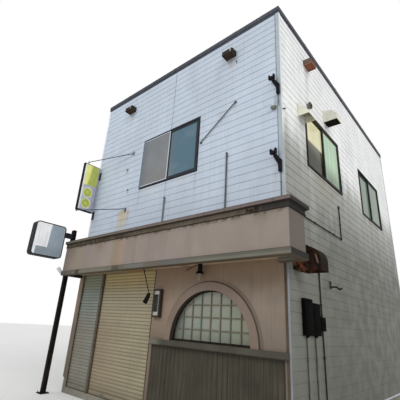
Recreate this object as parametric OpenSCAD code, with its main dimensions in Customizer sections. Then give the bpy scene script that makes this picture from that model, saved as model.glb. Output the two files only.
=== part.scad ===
// Two-storey corner shop building with a rendered canopy over a shuttered, arched shop front.
// Millimetres, +Z up. The origin is the middle of the footprint at ground level, the street
// front faces -Y, the side street +X, and the party wall is the -X side.

/* [Plan] */
// Wall pier between the party wall line and the small shutter
pier_w = 120; // [60:10:400]
// Clear width of the small shutter opening
side_shutter_w = 830; // [600:10:1000]
// Post between the two shutters
post_w = 40; // [30:5:120]
// Clear width of the main shutter opening
main_shutter_w = 1770; // [1500:10:2400]
// Rendered wall with the arched window, main shutter to street corner
arch_wall_w = 2750; // [2300:10:3400]
// Depth of the house, front face to rear face
house_d = 7300; // [6700:10:9100]
// Thickness of the outer walls
wall_t = 150; // [110:5:220]

/* [Levels] */
// Thickness of the ground slab
slab_t = 120; // [80:5:200]
// Top of the concrete plinth above the ground
plinth_z = 300; // [220:10:500]
// Top of the shutter openings
head_z = 2520; // [2440:5:2550]
// Thickness of the upper floor
floor_t = 200; // [120:10:300]
// Top of the walls under the coping
wall_top = 7330; // [7200:10:7800]
// Thickness of the roof deck
roof_t = 110; // [80:5:200]
// Height of the parapet above the roof deck at the front
parapet_h = 170; // [120:10:400]
// Fall of the roof deck from front to rear
roof_fall = 110; // [40:10:200]

/* [Coping] */
// Height of the metal coping
coping_h = 170; // [80:5:200]
// How far the coping stands out past the wall faces
coping_out = 25; // [10:1:60]

/* [Ribbed sheet] */
// Distance between the ribs of the sheet on the party wall
rib_pitch = 110; // [80:2:250]
// Width of a rib at its foot
rib_w = 56; // [30:2:64]
// Width of a rib at its crown
rib_crown = 28; // [14:1:29]
// How far a rib stands out from the party wall
rib_out = 18; // [10:1:24]
// How far the sheet between the ribs stands out
rib_pan = 4; // [2:1:8]

/* [Canopy] */
// How far the canopy stands out from the shop front
canopy_out = 500; // [400:10:800]
// Overhang of the canopy past the street corner
canopy_over = 310; // [200:10:500]
// How far the canopy runs past the party wall line
canopy_left = 20; // [10:5:60]
// Gap between the rear end of the overhang and the plane of the front wall
canopy_rear_gap = 20; // [5:5:100]
// Thickness of the rendered fascia
fascia_t = 80; // [50:5:120]
// Underside of the lower band
band_z = 2462; // [2420:2:2480]
// Height of the lower band
band_h = 101; // [80:1:140]
// How far the lower band stands proud of the fascia
band_out = 30; // [10:1:60]
// Height of the rendered fascia between band and cornice
fascia_h = 546; // [400:2:640]
// Height of the cornice moulding
cornice_h = 153; // [130:1:200]
// Height of the square lip at the top of the cornice
lip_h = 64; // [40:1:80]
// How far the lip stands out
lip_out = 60; // [45:1:90]
// How far the bead at the foot of the cornice stands out
bead_out = 22; // [10:1:30]
// Height of that bead
bead_h = 26; // [15:1:40]
// Underside of the soffit
soffit_z = 2530; // [2525:1:2545]
// Thickness of the soffit and of the canopy deck
board_t = 30; // [15:1:40]

/* [Shutters] */
// Height of one shutter slat
slat_h = 64; // [50:1:90]
// How far a slat bulges
slat_bulge = 7; // [3:1:12]
// Thickness of the shutter curtain behind the bulge
curtain_t = 8; // [4:1:12]
// Setback of the curtain behind the wall face
curtain_in = 34; // [25:1:60]
// Width of a guide rail
guide_w = 30; // [20:1:50]
// Depth of a guide rail
guide_d = 62; // [50:1:90]
// Height of the bottom bar of a shutter
bottom_bar_h = 90; // [60:1:120]

/* [Arched window] */
// Distance from the street corner to the middle of the arch
arch_from_corner = 1410; // [1250:5:1500]
// Level of the ledge under the arch, where it springs
arch_z = 1280; // [1150:5:1330]
// Clear radius inside the moulded surround
arch_r = 820; // [650:5:850]
// Width of the moulded surround
surround_w = 140; // [100:5:180]
// How far the surround stands proud of the wall
surround_out = 25; // [15:1:50]
// Thickness of the lining inside the reveal
lining_t = 20; // [12:1:30]
// Depth of the reveal in front of the window frame
reveal_d = 60; // [40:1:80]
// Width of the arched window frame
arch_frame_w = 35; // [25:1:50]
// Depth of the arched window frame
arch_frame_d = 50; // [40:1:60]
// Spacing of the upright glazing bars
bar_pitch = 200; // [160:5:260]
// Spacing of the level glazing bars
row_pitch = 195; // [160:5:260]
// Width of a glazing bar
bar_w = 16; // [10:1:24]
// Depth of a glazing bar
bar_t = 18; // [12:1:24]
// Setback of the glazing bars behind the face of the frame
bar_in = 12; // [6:1:20]
// Height of the ledge under the arch
ledge_h = 90; // [70:5:140]
// How far the ledge stands out
ledge_out = 65; // [40:5:120]
// How far the ledge stops short of the main shutter
ledge_in = 50; // [0:5:100]
// Depth of the recess under the ledge that holds the boarded panel
panel_in = 40; // [30:1:60]
// Wall left beside that recess at either end
panel_edge = 60; // [40:5:120]
// Thickness of the boarded panel
panel_t = 15; // [10:1:25]
// Width of one board of that panel
panel_board = 92; // [60:1:140]

/* [Sliding windows] */
// Width of a sliding window
win_w = 1790; // [1500:10:1900]
// Height of a sliding window
win_h = 1270; // [1000:10:1400]
// Level of the upper window sills
sill_z = 4420; // [4200:10:4600]
// Level of the rear ground floor window sill
rear_sill_z = 1300; // [1000:10:1500]
// Distance from the street corner to the front window
front_win_at = 1860; // [1700:10:2200]
// Distance from the street corner to the first side window
side_win_at = 965; // [900:5:1200]
// Wall between the two side windows
side_win_gap = 1500; // [1200:10:1800]
// Width of the outer window frame
win_frame_w = 36; // [25:1:50]
// How far the window frame stands out of the wall
win_frame_out = 28; // [10:1:40]
// Depth of the window frame
win_frame_d = 110; // [100:1:140]
// Width of a sash bar
sash_w = 42; // [30:1:60]
// Thickness of a sash
sash_t = 24; // [20:1:26]
// Thickness of a pane
glass_t = 5; // [4:1:8]
// Clear gap between the two sashes
sash_gap = 4; // [3:1:8]

/* [Corner trim] */
// Width of the corner trim on the front
trim_front_w = 55; // [30:1:90]
// Width of the corner trim on the side
trim_side_w = 45; // [30:1:90]
// Thickness of the corner trim
trim_t = 16; // [10:1:25]

/* [Hoods] */
// Thickness of the sheet that the hoods are folded from
sheet_t = 6; // [3:1:10]
// Width of a small wall vent hood
vent_w = 225; // [150:5:300]
// Height of a small wall vent hood
vent_h = 155; // [140:5:250]
// How far a small vent hood stands out
vent_out = 185; // [120:5:240]
// Radius of the rounded front edge of a vent hood
vent_r = 70; // [40:5:90]
// Distance from the top of the walls down to the underside of the vent hoods
vent_drop = 530; // [400:10:800]
// Distance from the street corner to the near vent hood on the front
near_vent_at = 1205; // [900:5:1500]
// Distance from the street corner to the far vent hood on the front
far_vent_at = 4465; // [4000:5:5000]
// Distance from the street corner to the vent hood on the side
side_vent_at = 1070; // [800:10:1600]
// Diameter of the round vent's cap
round_vent_d = 140; // [100:5:180]
// Distance from the street corner to the middle of the round vent
round_vent_at = 1150; // [900:10:1500]
// Level of the middle of the round vent
round_vent_z = 5830; // [5800:10:6200]
// Distance from the street corner to the near weather hood
near_hood_at = 645; // [500:5:700]
// Width of the near weather hood
near_hood_w = 310; // [250:5:350]
// How far the near weather hood stands out
near_hood_out = 225; // [180:5:300]
// Height of the near weather hood
near_hood_h = 300; // [250:5:400]
// Underside of the near weather hood
near_hood_z = 5310; // [5200:5:5500]
// Distance from the street corner to the far weather hood
far_hood_at = 1985; // [1800:5:2300]
// Width of the far weather hood
far_hood_w = 265; // [250:5:400]
// How far the far weather hood stands out
far_hood_out = 300; // [250:5:400]
// Height of the far weather hood
far_hood_h = 285; // [240:5:350]
// Underside of the far weather hood
far_hood_z = 5905; // [5850:5:6100]
// Distance from the street corner to the kitchen exhaust hood
exhaust_at = 200; // [150:10:300]
// Width of the kitchen exhaust hood along the side wall
exhaust_w = 270; // [220:10:600]
// How far the kitchen exhaust hood stands out
exhaust_out = 425; // [350:5:500]
// Height of the kitchen exhaust hood
exhaust_h = 490; // [420:10:600]
// Radius of the exhaust hood's rolled front
exhaust_roll = 195; // [120:5:220]
// Height of the exhaust hood's upright front below the roll
exhaust_front = 150; // [80:5:200]
// Underside of the exhaust hood
exhaust_z = 2370; // [2200:10:2450]

/* [Supply fittings] */
// Distance from the street corner to the near meter box
meter_at = 415; // [300:5:600]
// Underside of the two meter boxes
meter_z = 1500; // [1300:10:1700]
// How far the meter boxes stand out
meter_out = 60; // [50:5:150]
// Width of the near meter box
near_meter_w = 285; // [200:5:350]
// Height of the near meter box
near_meter_h = 515; // [350:5:600]
// Width of the far meter box
far_meter_w = 290; // [200:5:350]
// Height of the far meter box
far_meter_h = 470; // [300:5:600]
// Distance from the street corner to the small switch box
switch_at = 1000; // [950:5:1200]
// Width of the switch box
switch_w = 175; // [120:5:220]
// Height of the switch box
switch_h = 205; // [150:5:260]
// Underside of the switch box
switch_z = 1575; // [1400:5:1700]
// Gap between the pipes on the side wall and the wall
pipe_gap = 8; // [4:1:20]
// Diameter of the two supply pipes that rise to the meter boxes
supply_pipe_d = 34; // [25:1:50]
// Diameter of the thin conduits on the side wall
conduit_d = 22; // [15:1:32]
// Distance from the street corner to the conduit at the switch box
switch_pipe_at = 1130; // [1040:5:1160]
// Top of the conduit above the switch box
switch_pipe_top = 2500; // [2300:10:2900]
// Level of the long conduit along the side wall
long_pipe_z = 3345; // [3300:5:3500]
// Distance from the street corner to where the long conduit turns up
long_pipe_turn = 2420; // [2000:10:2700]
// Top of the long conduit
long_pipe_top = 4050; // [3800:10:4300]
// Foot of the lower wire bracket at the street corner
low_bracket_z = 3905; // [3700:5:4100]
// Foot of the upper wire bracket at the street corner
high_bracket_z = 5410; // [5300:5:5800]
// Height of a wire bracket from its foot to its cross piece
bracket_rise = 345; // [300:5:450]
// How far a wire bracket reaches along the front from its upright
bracket_reach = 90; // [60:5:200]
// Thickness of the bars of a wire bracket
bracket_t = 48; // [20:1:60]
// Distance from the street corner to the hook on the side wall
hook_at = 1620; // [1400:10:2000]
// Level of the arm of that hook
hook_z = 2310; // [2200:10:2500]
// How far that hook stands out
hook_out = 120; // [80:5:200]
// Distance from the rear street-side corner to the rain pipe
rain_pipe_at = 4950; // [4400:10:5150]
// Diameter of the rain pipe
rain_pipe_d = 76; // [60:1:100]

/* [Lamps] */
// Distance from the street corner to the shop lamp
shop_lamp_at = 1535; // [1000:5:2000]
// Distance from the front wall out to the shop lamp
shop_lamp_out = 110; // [90:5:200]
// Distance from the street corner to the middle of the lamp case
lamp_case_at = 2600; // [2500:5:2620]
// Width of the lamp case
lamp_case_w = 200; // [150:5:240]
// Underside of the lamp case
lamp_case_z = 1640; // [1400:10:1800]
// Height of the lamp case
lamp_case_h = 500; // [350:10:700]
// Depth of the lamp case
lamp_case_d = 70; // [50:5:100]
// Distance from the street corner to the hanging spotlight
spot_at = 2610; // [2300:10:3300]
// Distance from the front wall out to the hanging spotlight
spot_out = 250; // [150:10:350]
// Level of the spotlight's joint
spot_z = 2030; // [2000:5:2200]

/* [Rods on the front] */
// Diameter of the two upright rods on the canopy
upright_rod_d = 26; // [16:1:40]
// Distance from the street corner to the near upright rod
near_rod_at = 1115; // [900:5:1300]
// Top of the near upright rod
near_rod_top = 4560; // [4200:10:4900]
// Distance from the street corner to the far upright rod
far_rod_at = 2718; // [2500:5:3000]
// Top of the far upright rod
far_rod_top = 4000; // [3700:10:4300]
// Diameter of the slanting rod and the stays
stay_d = 20; // [12:1:30]
// Distance from the street corner to the low end of the slanting rod
slant_low_at = 1790; // [1600:5:1850]
// Level of the low end of the slanting rod
slant_low_z = 5026; // [4800:5:5200]
// Distance from the street corner to the high end of the slanting rod
slant_high_at = 946; // [700:5:1200]
// Level of the high end of the slanting rod
slant_high_z = 5650; // [5400:10:5900]
// Distance from the street corner to the wall ends of the two stays
stay_at = 4055; // [3800:5:4300]
// Level of the upper stay's wall end
upper_stay_z = 5487; // [5300:5:5700]
// Level of the lower stay's wall end
lower_stay_z = 4012; // [3800:5:4200]

/* [Hanging signs] */
// Height of the tall light box
blade_h = 1305; // [900:5:1500]
// Width of the tall light box, out from the wall
blade_w = 460; // [350:10:600]
// Thickness of the tall light box
blade_t = 86; // [60:2:100]
// How far the tall light box reaches in front of the wall's end
blade_over = 60; // [50:5:200]
// Underside of the tall light box
blade_z = 4132; // [3900:2:4400]
// Gap between the wall and the tall light box
blade_gap = 40; // [20:5:100]
// Height of the post on top of the tall light box that takes the upper stay
stub_h = 60; // [40:10:300]
// Drop of the lower stay's foot below the tall light box
foot_h = 30; // [20:5:120]
// Height of the rounded light box on the post
plate_h = 790; // [600:10:900]
// Width of the rounded light box on the post
plate_w = 740; // [500:10:900]
// Thickness of the rounded light box
plate_t = 200; // [120:5:240]
// Underside of the rounded light box
plate_z = 2840; // [2700:10:3000]
// Side of the square sign post
sign_post_w = 88; // [60:2:150]
// Height of the sign post
sign_post_h = 3590; // [3450:10:3800]
// Distance from the front wall out to the sign post
sign_post_out = 330; // [250:5:380]
// Distance from the front wall out to the rounded light box
plate_out = 580; // [500:10:700]
// Width of the dark frame round a light box
sign_frame_w = 22; // [14:1:40]
// Depth of the faces of a light box behind its frame
sign_face_in = 8; // [4:1:14]

/* [Fit] */
// Clearance round a piece that is set into an opening
fit_gap = 0.3; // [0.2:0.1:0.6]

/* [Hidden] */
$fn = 48;
arch_fn = 192;

house_w = pier_w + side_shutter_w + post_w + main_shutter_w + arch_wall_w;
lx = -house_w / 2;
rx = house_w / 2;
fy = -house_d / 2;
by = house_d / 2;
far = 10000;
plinth_in = 12;
band_top = band_z + band_h;
fascia_top = band_top + fascia_h;
canopy_top = fascia_top + cornice_h;
storey_z = canopy_top;
main_left = -arch_wall_w - main_shutter_w;
side_left = main_left - post_w - side_shutter_w;
opening_r = arch_r + lining_t;
deck_front = wall_top - parapet_h;
deck_top = fascia_top + bead_h + board_t;

// Places on a wall: x runs along the wall and y into it, from the street corner.
module on_front() translate([rx, fy, 0]) children();
module on_side() translate([rx, fy, 0]) rotate([0, 0, 90]) children();
module on_rear() translate([rx, by, 0]) rotate([0, 0, 180]) children();

// A box between two opposite corners
module block(a, b) translate(a) cube(b - a);

// Turns what stands along +z at the origin so that it starts at a and points to b
module aimed(a, b) {
    run = b - a;
    translate(a) rotate([0, acos(run.z / norm(run)), atan2(run.y, run.x)]) children();
}

// A round rod from one point to another
module rod(a, b, d) aimed(a, b) cylinder(h = norm(b - a), d = d);

// Points on an arc, angles in degrees
function arc(cx, cy, r, from, to, n) =
    [for (i = [0:n]) [cx + r * cos(from + (to - from) * i / n), cy + r * sin(from + (to - from) * i / n)]];

// A side profile, [out, up], drawn out along x. Out is -y.
module along_x(profile, length)
    rotate([90, 0, 90]) linear_extrude(length) polygon([for (p = profile) [-p.x, p.y]]);

// A moulding of a given profile, mitred at 45 degrees at an end whose flag is 1
module mitred_run(profile, length, start, end, out, back) {
    intersection() {
        translate([-out, 0, 0]) along_x(profile, length + 2 * out);
        translate([0, 0, -far]) linear_extrude(2 * far)
            polygon([[-start * out, -out], [length + end * out, -out],
                [length - end * back, back], [start * back, back]]);
    }
}

// The same moulding round the canopy: front, overhanging end and its short back. The end at
// the party line is plain, and a short return closes the overhang against the front wall.
module round_canopy(profile, out) {
    cl = lx - canopy_left;
    cr = rx + canopy_over;
    cf = fy - canopy_out;
    cb = fy - canopy_rear_gap;
    low = min([for (p = profile) p.y]);
    high = max([for (p = profile) p.y]);
    block([cl, cf, low], [cl + fascia_t, fy, high]);
    translate([cl, cf, 0]) mitred_run(profile, cr - cl, 0, 1, out, fascia_t);
    translate([cr, cf, 0]) rotate([0, 0, 90]) mitred_run(profile, cb - cf, 1, 1, out, fascia_t);
    translate([cr, cb, 0]) rotate([0, 0, 180]) mitred_run(profile, cr - rx, 1, 0, out, fascia_t);
    block([rx - fascia_t, cb - fascia_t, low], [rx, fy, high]);
}

// The plan inside the canopy's fascia
module canopy_inside(z, t) {
    inner_left = lx - canopy_left + fascia_t;
    inner_right = rx + canopy_over - fascia_t;
    inner_front = fy - canopy_out + fascia_t;
    inner_back = fy - canopy_rear_gap - fascia_t;
    translate([0, 0, z]) linear_extrude(t)
        polygon([[inner_left, inner_front], [inner_right, inner_front], [inner_right, inner_back],
            [rx - fascia_t, inner_back], [rx - fascia_t, fy], [inner_left, fy]]);
}

// Window openings: the place of each one's lower left corner, seen from outside
module at_front_window() on_front() translate([-front_win_at - win_w, 0, sill_z]) children();
module at_side_windows() on_side() for (i = [0:1])
    translate([side_win_at + i * (win_w + side_win_gap), 0, sill_z]) children();
module at_rear_windows() on_rear() for (z = [rear_sill_z, sill_z])
    translate([(house_w - win_w) / 2, 0, z]) children();
module at_windows() {
    at_front_window() children();
    at_side_windows() children();
    at_rear_windows() children();
}
module window_hole() translate([0, -wall_t, 0]) cube([win_w, 3 * wall_t, win_h]);

// A straight wall, mitred at 45 degrees at an end whose flag is 1
module mitred_wall(length, start, end, low, high) {
    translate([0, 0, low]) linear_extrude(high - low)
        polygon([[0, 0], [length, 0], [length - end * wall_t, wall_t], [start * wall_t, wall_t]]);
}

// Ground slab in one pour with the plinth under the walls, open at the shutters
module foundation() {
    color("silver") difference() {
        block([lx + plinth_in, fy + plinth_in, 0], [rx - plinth_in, by - plinth_in, plinth_z]);
        block([lx + wall_t, fy + wall_t, slab_t], [rx - wall_t, by - wall_t, far]);
        on_front() block([side_left, -wall_t, slab_t], [-arch_wall_w, wall_t, far]);
    }
}

// Plain wall clad in upright ribbed sheet, which also covers the ends of the front and rear walls
module party_wall() {
    ribs = floor(house_d / rib_pitch);
    first = (house_d - (ribs - 1) * rib_pitch) / 2;
    rib = [[-rib_pan, -rib_w / 2], [-rib_out, -rib_crown / 2], [-rib_out, rib_crown / 2],
        [-rib_pan, rib_w / 2]];
    ribbed = [for (i = [0:ribs - 1], p = rib) [p.x, p.y + first + i * rib_pitch]];
    color("lightgray") translate([lx, fy, plinth_z]) linear_extrude(wall_top - plinth_z)
        polygon(concat([[0, 0], [-rib_pan, 0]], ribbed, [[-rib_pan, house_d], [0, house_d],
            [0, house_d - wall_t], [wall_t, house_d - wall_t], [wall_t, wall_t], [0, wall_t]]));
}

module side_wall() {
    color("whitesmoke") difference() {
        on_side() mitred_wall(house_d, 1, 1, plinth_z, wall_top);
        at_side_windows() window_hole();
    }
}

module rear_wall() {
    color("whitesmoke") difference() {
        on_rear() mitred_wall(house_w, 1, 0, plinth_z, wall_top);
        at_rear_windows() window_hole();
        on_rear() translate([rain_pipe_at - outlet_w / 2, -wall_t, rain_head_z])
            cube([outlet_w, 3 * wall_t, outlet_h]);
    }
}

// Wall with the arched opening, and a shallow recess for boards below the ledge
module front_wall_ground() {
    color("rosybrown") on_front() difference() {
        translate([-arch_wall_w, 0, 0]) mitred_wall(arch_wall_w, 0, 1, plinth_z, storey_z);
        translate([-arch_from_corner, -wall_t, arch_z]) intersection() {
            rotate([-90, 0, 0]) cylinder(h = 3 * wall_t, r = opening_r + fit_gap, $fn = arch_fn);
            block([-far, -far, 0], [far, far, far]);
        }
        block([-arch_wall_w + panel_edge, -wall_t, plinth_z - wall_t],
            [-panel_edge, panel_in, arch_z - ledge_h]);
    }
}

module shutter_pier() {
    color("rosybrown") on_front() block([-house_w, 0, plinth_z], [side_left, wall_t, head_z]);
}

module shutter_header() {
    color("rosybrown") on_front() block([-house_w, 0, head_z], [-arch_wall_w, wall_t, storey_z]);
}

module front_wall_upper() {
    color("aliceblue") difference() {
        on_front() translate([-house_w, 0, 0]) mitred_wall(house_w, 0, 1, storey_z, wall_top);
        at_front_window() window_hole();
    }
}

module upper_floor() {
    color("burlywood")
        block([lx + wall_t, fy + wall_t, storey_z], [rx - wall_t, by - wall_t, storey_z + floor_t]);
}

// Low roof behind the parapet, with standing seams that run down its fall
module roof_deck() {
    seam_pitch = 435;
    seam_w = 22;
    seam_h = 26;
    inner_d = house_d - 2 * wall_t;
    inner_w = house_w - 2 * wall_t;
    seams = floor(inner_w / seam_pitch);
    function slope_profile(h) =
        [[0, deck_front], [-inner_d, deck_front - roof_fall],
            [-inner_d, deck_front - roof_fall + h], [0, deck_front + h]];
    color("slategray") translate([lx + wall_t, fy + wall_t, -roof_t]) {
        along_x(slope_profile(roof_t), inner_w);
        for (i = [1:seams]) translate([inner_w / 2 + (i - (seams + 1) / 2) * seam_pitch - seam_w / 2, 0, 0])
            along_x(slope_profile(roof_t + seam_h), seam_w);
    }
}

// Folded metal cap on all four walls, mitred at the corners
module roof_coping() {
    step_h = 45;
    step_in = 9;
    crown = 14;
    back = wall_t + coping_out;
    profile = [[-back, wall_top], [coping_out - step_in, wall_top], [coping_out - step_in, wall_top + step_h],
        [coping_out, wall_top + step_h + step_in], [coping_out, wall_top + coping_h - crown],
        [coping_out - crown, wall_top + coping_h], [-back, wall_top + coping_h - crown]];
    color("midnightblue") {
        translate([lx, fy, 0]) mitred_run(profile, house_w, 1, 1, coping_out, back);
        translate([rx, fy, 0]) rotate([0, 0, 90]) mitred_run(profile, house_d, 1, 1, coping_out, back);
        translate([rx, by, 0]) rotate([0, 0, 180]) mitred_run(profile, house_w, 1, 1, coping_out, back);
        translate([lx, by, 0]) rotate([0, 0, -90]) mitred_run(profile, house_d, 1, 1, coping_out, back);
    }
}

module canopy_fascia() {
    profile = [[-fascia_t, band_top], [0, band_top], [0, fascia_top], [-fascia_t, fascia_top]];
    color("rosybrown") round_canopy(profile, 1);
}

// Bead, cove and square lip, returned round the street corner and the end of the overhang
module canopy_cornice() {
    nose = 12;
    cove_r = lip_out - nose - bead_out + 8;
    lip_z = fascia_top + cornice_h - lip_h;
    cove = arc(lip_out - nose, lip_z - cove_r, cove_r, 180, 90, 6);
    profile = concat([[-fascia_t, fascia_top], [bead_out - 5, fascia_top], [bead_out, fascia_top + 5],
        [bead_out, fascia_top + bead_h - 5], [bead_out - 8, fascia_top + bead_h]], cove,
        [[lip_out, lip_z + nose / 2], [lip_out, canopy_top - 6], [lip_out - 6, canopy_top],
        [-fascia_t, canopy_top]]);
    color("dimgray") round_canopy(profile, lip_out);
}

module canopy_band() {
    drip = 12;
    profile = [[-fascia_t, band_z], [band_out - drip, band_z], [band_out, band_z + drip],
        [band_out, band_top - drip], [band_out - drip, band_top], [-fascia_t, band_top]];
    color("darkseagreen") round_canopy(profile, band_out);
}

module canopy_soffit() {
    color("tan") canopy_inside(soffit_z, board_t);
}

module canopy_deck() {
    color("gray") canopy_inside(fascia_top + bead_h, board_t);
}

// A roller shutter curtain of rounded slats over a plain bottom bar
module curtain(w) {
    steps = 6;
    slats = floor((head_z - slab_t - bottom_bar_h) / slat_h);
    foot = head_z - slats * slat_h;
    front = [for (i = [0:slats - 1], k = [0:steps])
        [slat_bulge * sin(180 * k / steps) * (k < steps ? 1 : 0), foot + slat_h * (i + k / steps)]];
    translate([0, curtain_in, 0]) {
        along_x(concat(front, [[-curtain_t, head_z], [-curtain_t, foot]]), w);
        block([0, -slat_bulge, slab_t], [w, curtain_t, foot]);
    }
}

module main_shutter() {
    color("khaki") on_front() translate([main_left + guide_w / 2, 0, 0]) curtain(main_shutter_w - guide_w);
}

module side_shutter() {
    color("darkseagreen") on_front() translate([side_left + guide_w / 2, 0, 0])
        curtain(side_shutter_w - guide_w);
}

// Slotted rails that hold the curtains' edges, and the post between the shutters
module shutter_guides() {
    slot_d = curtain_t + slat_bulge + 2 * fit_gap;
    grip = guide_w / 2 + fit_gap;
    color("dimgray") on_front() difference() {
        for (span = [[side_left, side_left + guide_w],
            [main_left - post_w - guide_w, main_left + guide_w], [-arch_wall_w - guide_w, -arch_wall_w]])
            block([span[0], 4, slab_t], [span[1], 4 + guide_d, head_z]);
        for (span = [[side_left + guide_w - grip, main_left - post_w - guide_w + grip],
            [main_left + guide_w - grip, -arch_wall_w - guide_w + grip]])
            block([span[0], curtain_in - slat_bulge - fit_gap, -far],
                [span[1], curtain_in - slat_bulge - fit_gap + slot_d, far]);
    }
}

// A ring section turned through the upper half circle. Points are [radius, out].
module arch_ring(profile) {
    on_front() translate([-arch_from_corner, 0, arch_z]) rotate([90, 0, 0])
        rotate_extrude(angle = 180, $fn = arch_fn) polygon(profile);
}

module arch_surround() {
    ease = 7;
    outer = arch_r + surround_w;
    color("rosybrown") arch_ring([[arch_r, -reveal_d], [arch_r, surround_out - ease],
        [arch_r + ease, surround_out], [outer - ease, surround_out], [outer, surround_out - ease],
        [outer, 0], [opening_r, 0], [opening_r, -reveal_d]]);
}

module arch_frame() {
    inner = opening_r - arch_frame_w;
    color("darkslategray") {
        arch_ring([[inner, -reveal_d - arch_frame_d], [inner, -reveal_d], [opening_r, -reveal_d],
            [opening_r, -reveal_d - arch_frame_d]]);
        on_front() translate([-arch_from_corner, 0, arch_z])
            block([-inner - 1, reveal_d, 0], [inner + 1, reveal_d + arch_frame_d, arch_frame_w]);
    }
}

// The half disc inside the frame, less its bottom rail
module arch_light(y, t) {
    intersection() {
        translate([0, y, 0]) rotate([-90, 0, 0])
            cylinder(h = t, r = opening_r - arch_frame_w - fit_gap, $fn = arch_fn);
        block([-far, -far, arch_frame_w], [far, far, far]);
    }
}

module arch_lattice() {
    bars = floor((arch_r - bar_pitch / 2) / bar_pitch);
    rows = floor((arch_r - row_pitch / 2) / row_pitch);
    color("dimgray") on_front() translate([-arch_from_corner, 0, arch_z]) intersection() {
        arch_light(reveal_d + bar_in, bar_t);
        union() {
            for (i = [-bars:bars])
                block([i * bar_pitch - bar_w / 2, 0, 0], [i * bar_pitch + bar_w / 2, far, far]);
            for (i = [1:rows]) block([-far, 0, i * row_pitch], [far, far, i * row_pitch + bar_w]);
        }
    }
}

module arch_glass() {
    color("lightgray", 0.6) on_front() translate([-arch_from_corner, 0, arch_z])
        arch_light(reveal_d + bar_in + bar_t, glass_t);
}

// Moulded ledge that runs from beside the main shutter to the street corner
module window_ledge() {
    nose = 14;
    foot = arch_z - ledge_h;
    length = arch_wall_w - ledge_in;
    profile = [[0, foot], [ledge_out - nose, foot], [ledge_out, foot + nose],
        [ledge_out, arch_z - nose], [ledge_out - nose, arch_z], [0, arch_z]];
    color("gray") on_front() translate([-length, 0, 0]) along_x(profile, length);
}

// Upright boards with a V joint between each pair, set in the recess under the ledge
module base_panel() {
    joint = 8;
    panel_w = arch_wall_w - 2 * panel_edge;
    boards = floor(panel_w / panel_board);
    edge = (panel_w - boards * panel_board) / 2;
    face = [for (i = [1:boards - 1], k = [-1:1])
        [edge + i * panel_board + k * joint / 2, k == 0 ? joint / 2 - panel_t : -panel_t]];
    color("saddlebrown") on_front() translate([-arch_wall_w + panel_edge, panel_in, plinth_z])
        linear_extrude(arch_z - ledge_h - plinth_z)
            polygon(concat([[0, 0], [0, -panel_t]], face, [[panel_w, -panel_t], [panel_w, 0]]));
}

// One sliding window: frame with two sill tracks, two sashes and their panes
module picture_frame(w, t, h, bar) {
    difference() {
        cube([w, t, h]);
        translate([bar, -t, bar]) cube([w - 2 * bar, 3 * t, h - 2 * bar]);
    }
}

outer_sash_y = -12;
inner_sash_y = outer_sash_y + sash_t + sash_gap;
sash_span = (win_w - 2 * win_frame_w + sash_w) / 2 - fit_gap;
sash_h = win_h - 2 * win_frame_w - 2 * fit_gap;

module window_frames() {
    flange = 8;
    flange_t = 5;
    color("darkslategray") at_windows() {
        translate([fit_gap, -win_frame_out, fit_gap])
            picture_frame(win_w - 2 * fit_gap, win_frame_d, win_h - 2 * fit_gap, win_frame_w - fit_gap);
        translate([-flange, -flange_t, -flange])
            picture_frame(win_w + 2 * flange, flange_t, win_h + 2 * flange, flange + win_frame_w - 1);
    }
}

module sash(x, y) translate([x, y, win_frame_w]) picture_frame(sash_span, sash_t, sash_h, sash_w);

module window_sashes() {
    color("dimgray") at_windows() {
        sash(win_frame_w + fit_gap, inner_sash_y);
        sash(win_w - win_frame_w - fit_gap - sash_span, outer_sash_y);
    }
}

module pane(x, y) translate([x + sash_w + fit_gap, y + (sash_t - glass_t) / 2, win_frame_w + sash_w])
    cube([sash_span - 2 * sash_w - 2 * fit_gap, glass_t, sash_h - 2 * sash_w - fit_gap]);

module window_glass() {
    color("lightblue", 0.5) at_windows() {
        pane(win_frame_w + fit_gap, inner_sash_y);
        pane(win_w - win_frame_w - fit_gap - sash_span, outer_sash_y);
    }
}

// Bright frame with a closed mesh, in front of the left half of the front window
module insect_screen() {
    screen_bar = 22;
    screen_t = 12;
    screen_gap = 2;
    mesh_t = 2;
    color("lightgray") at_front_window()
        translate([win_frame_w + fit_gap, outer_sash_y - screen_t - screen_gap, win_frame_w]) {
            picture_frame(sash_span, screen_t, sash_h, screen_bar);
            translate([screen_bar, (screen_t - mesh_t) / 2, screen_bar])
                cube([sash_span - 2 * screen_bar, mesh_t, sash_h - 2 * screen_bar]);
        }
}

// Folded strips over the siding's ends at the two corners of the side wall
module corner_trim() {
    color("lightgray") {
        on_front() block([-trim_front_w, -trim_t, storey_z], [trim_t, 0, wall_top]);
        on_side() block([0, -trim_t, storey_z], [trim_side_w, 0, wall_top]);
        on_side() block([house_d - trim_side_w, -trim_t, plinth_z], [house_d + trim_t, 0, wall_top]);
        on_rear() block([0, -trim_t, plinth_z], [trim_front_w, 0, wall_top]);
    }
}

// A folded sheet hood, open below: the outline less a smaller one
module sheet_hood(outline, inner, w) {
    difference() {
        along_x(outline, w);
        translate([sheet_t, 0, 0]) along_x(inner, w - 2 * sheet_t);
    }
}

function vent_outline(h, d, r, low) = concat([[0, low], [d, low]], arc(d - r, h - r, r, 0, 90, 8), [[0, h]]);

module vent_hood() {
    inner = vent_outline(vent_h - sheet_t, vent_out - sheet_t, vent_r - sheet_t, -sheet_t);
    sheet_hood(vent_outline(vent_h, vent_out, vent_r, 0), [for (p = inner) [max(p.x, sheet_t), p.y]], vent_w);
}

module vent_hoods() {
    color("saddlebrown") translate([0, 0, wall_top - vent_drop]) {
        on_front() for (at = [near_vent_at, far_vent_at]) translate([-at, 0, 0]) vent_hood();
        on_side() translate([side_vent_at, 0, 0]) vent_hood();
    }
}

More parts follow.
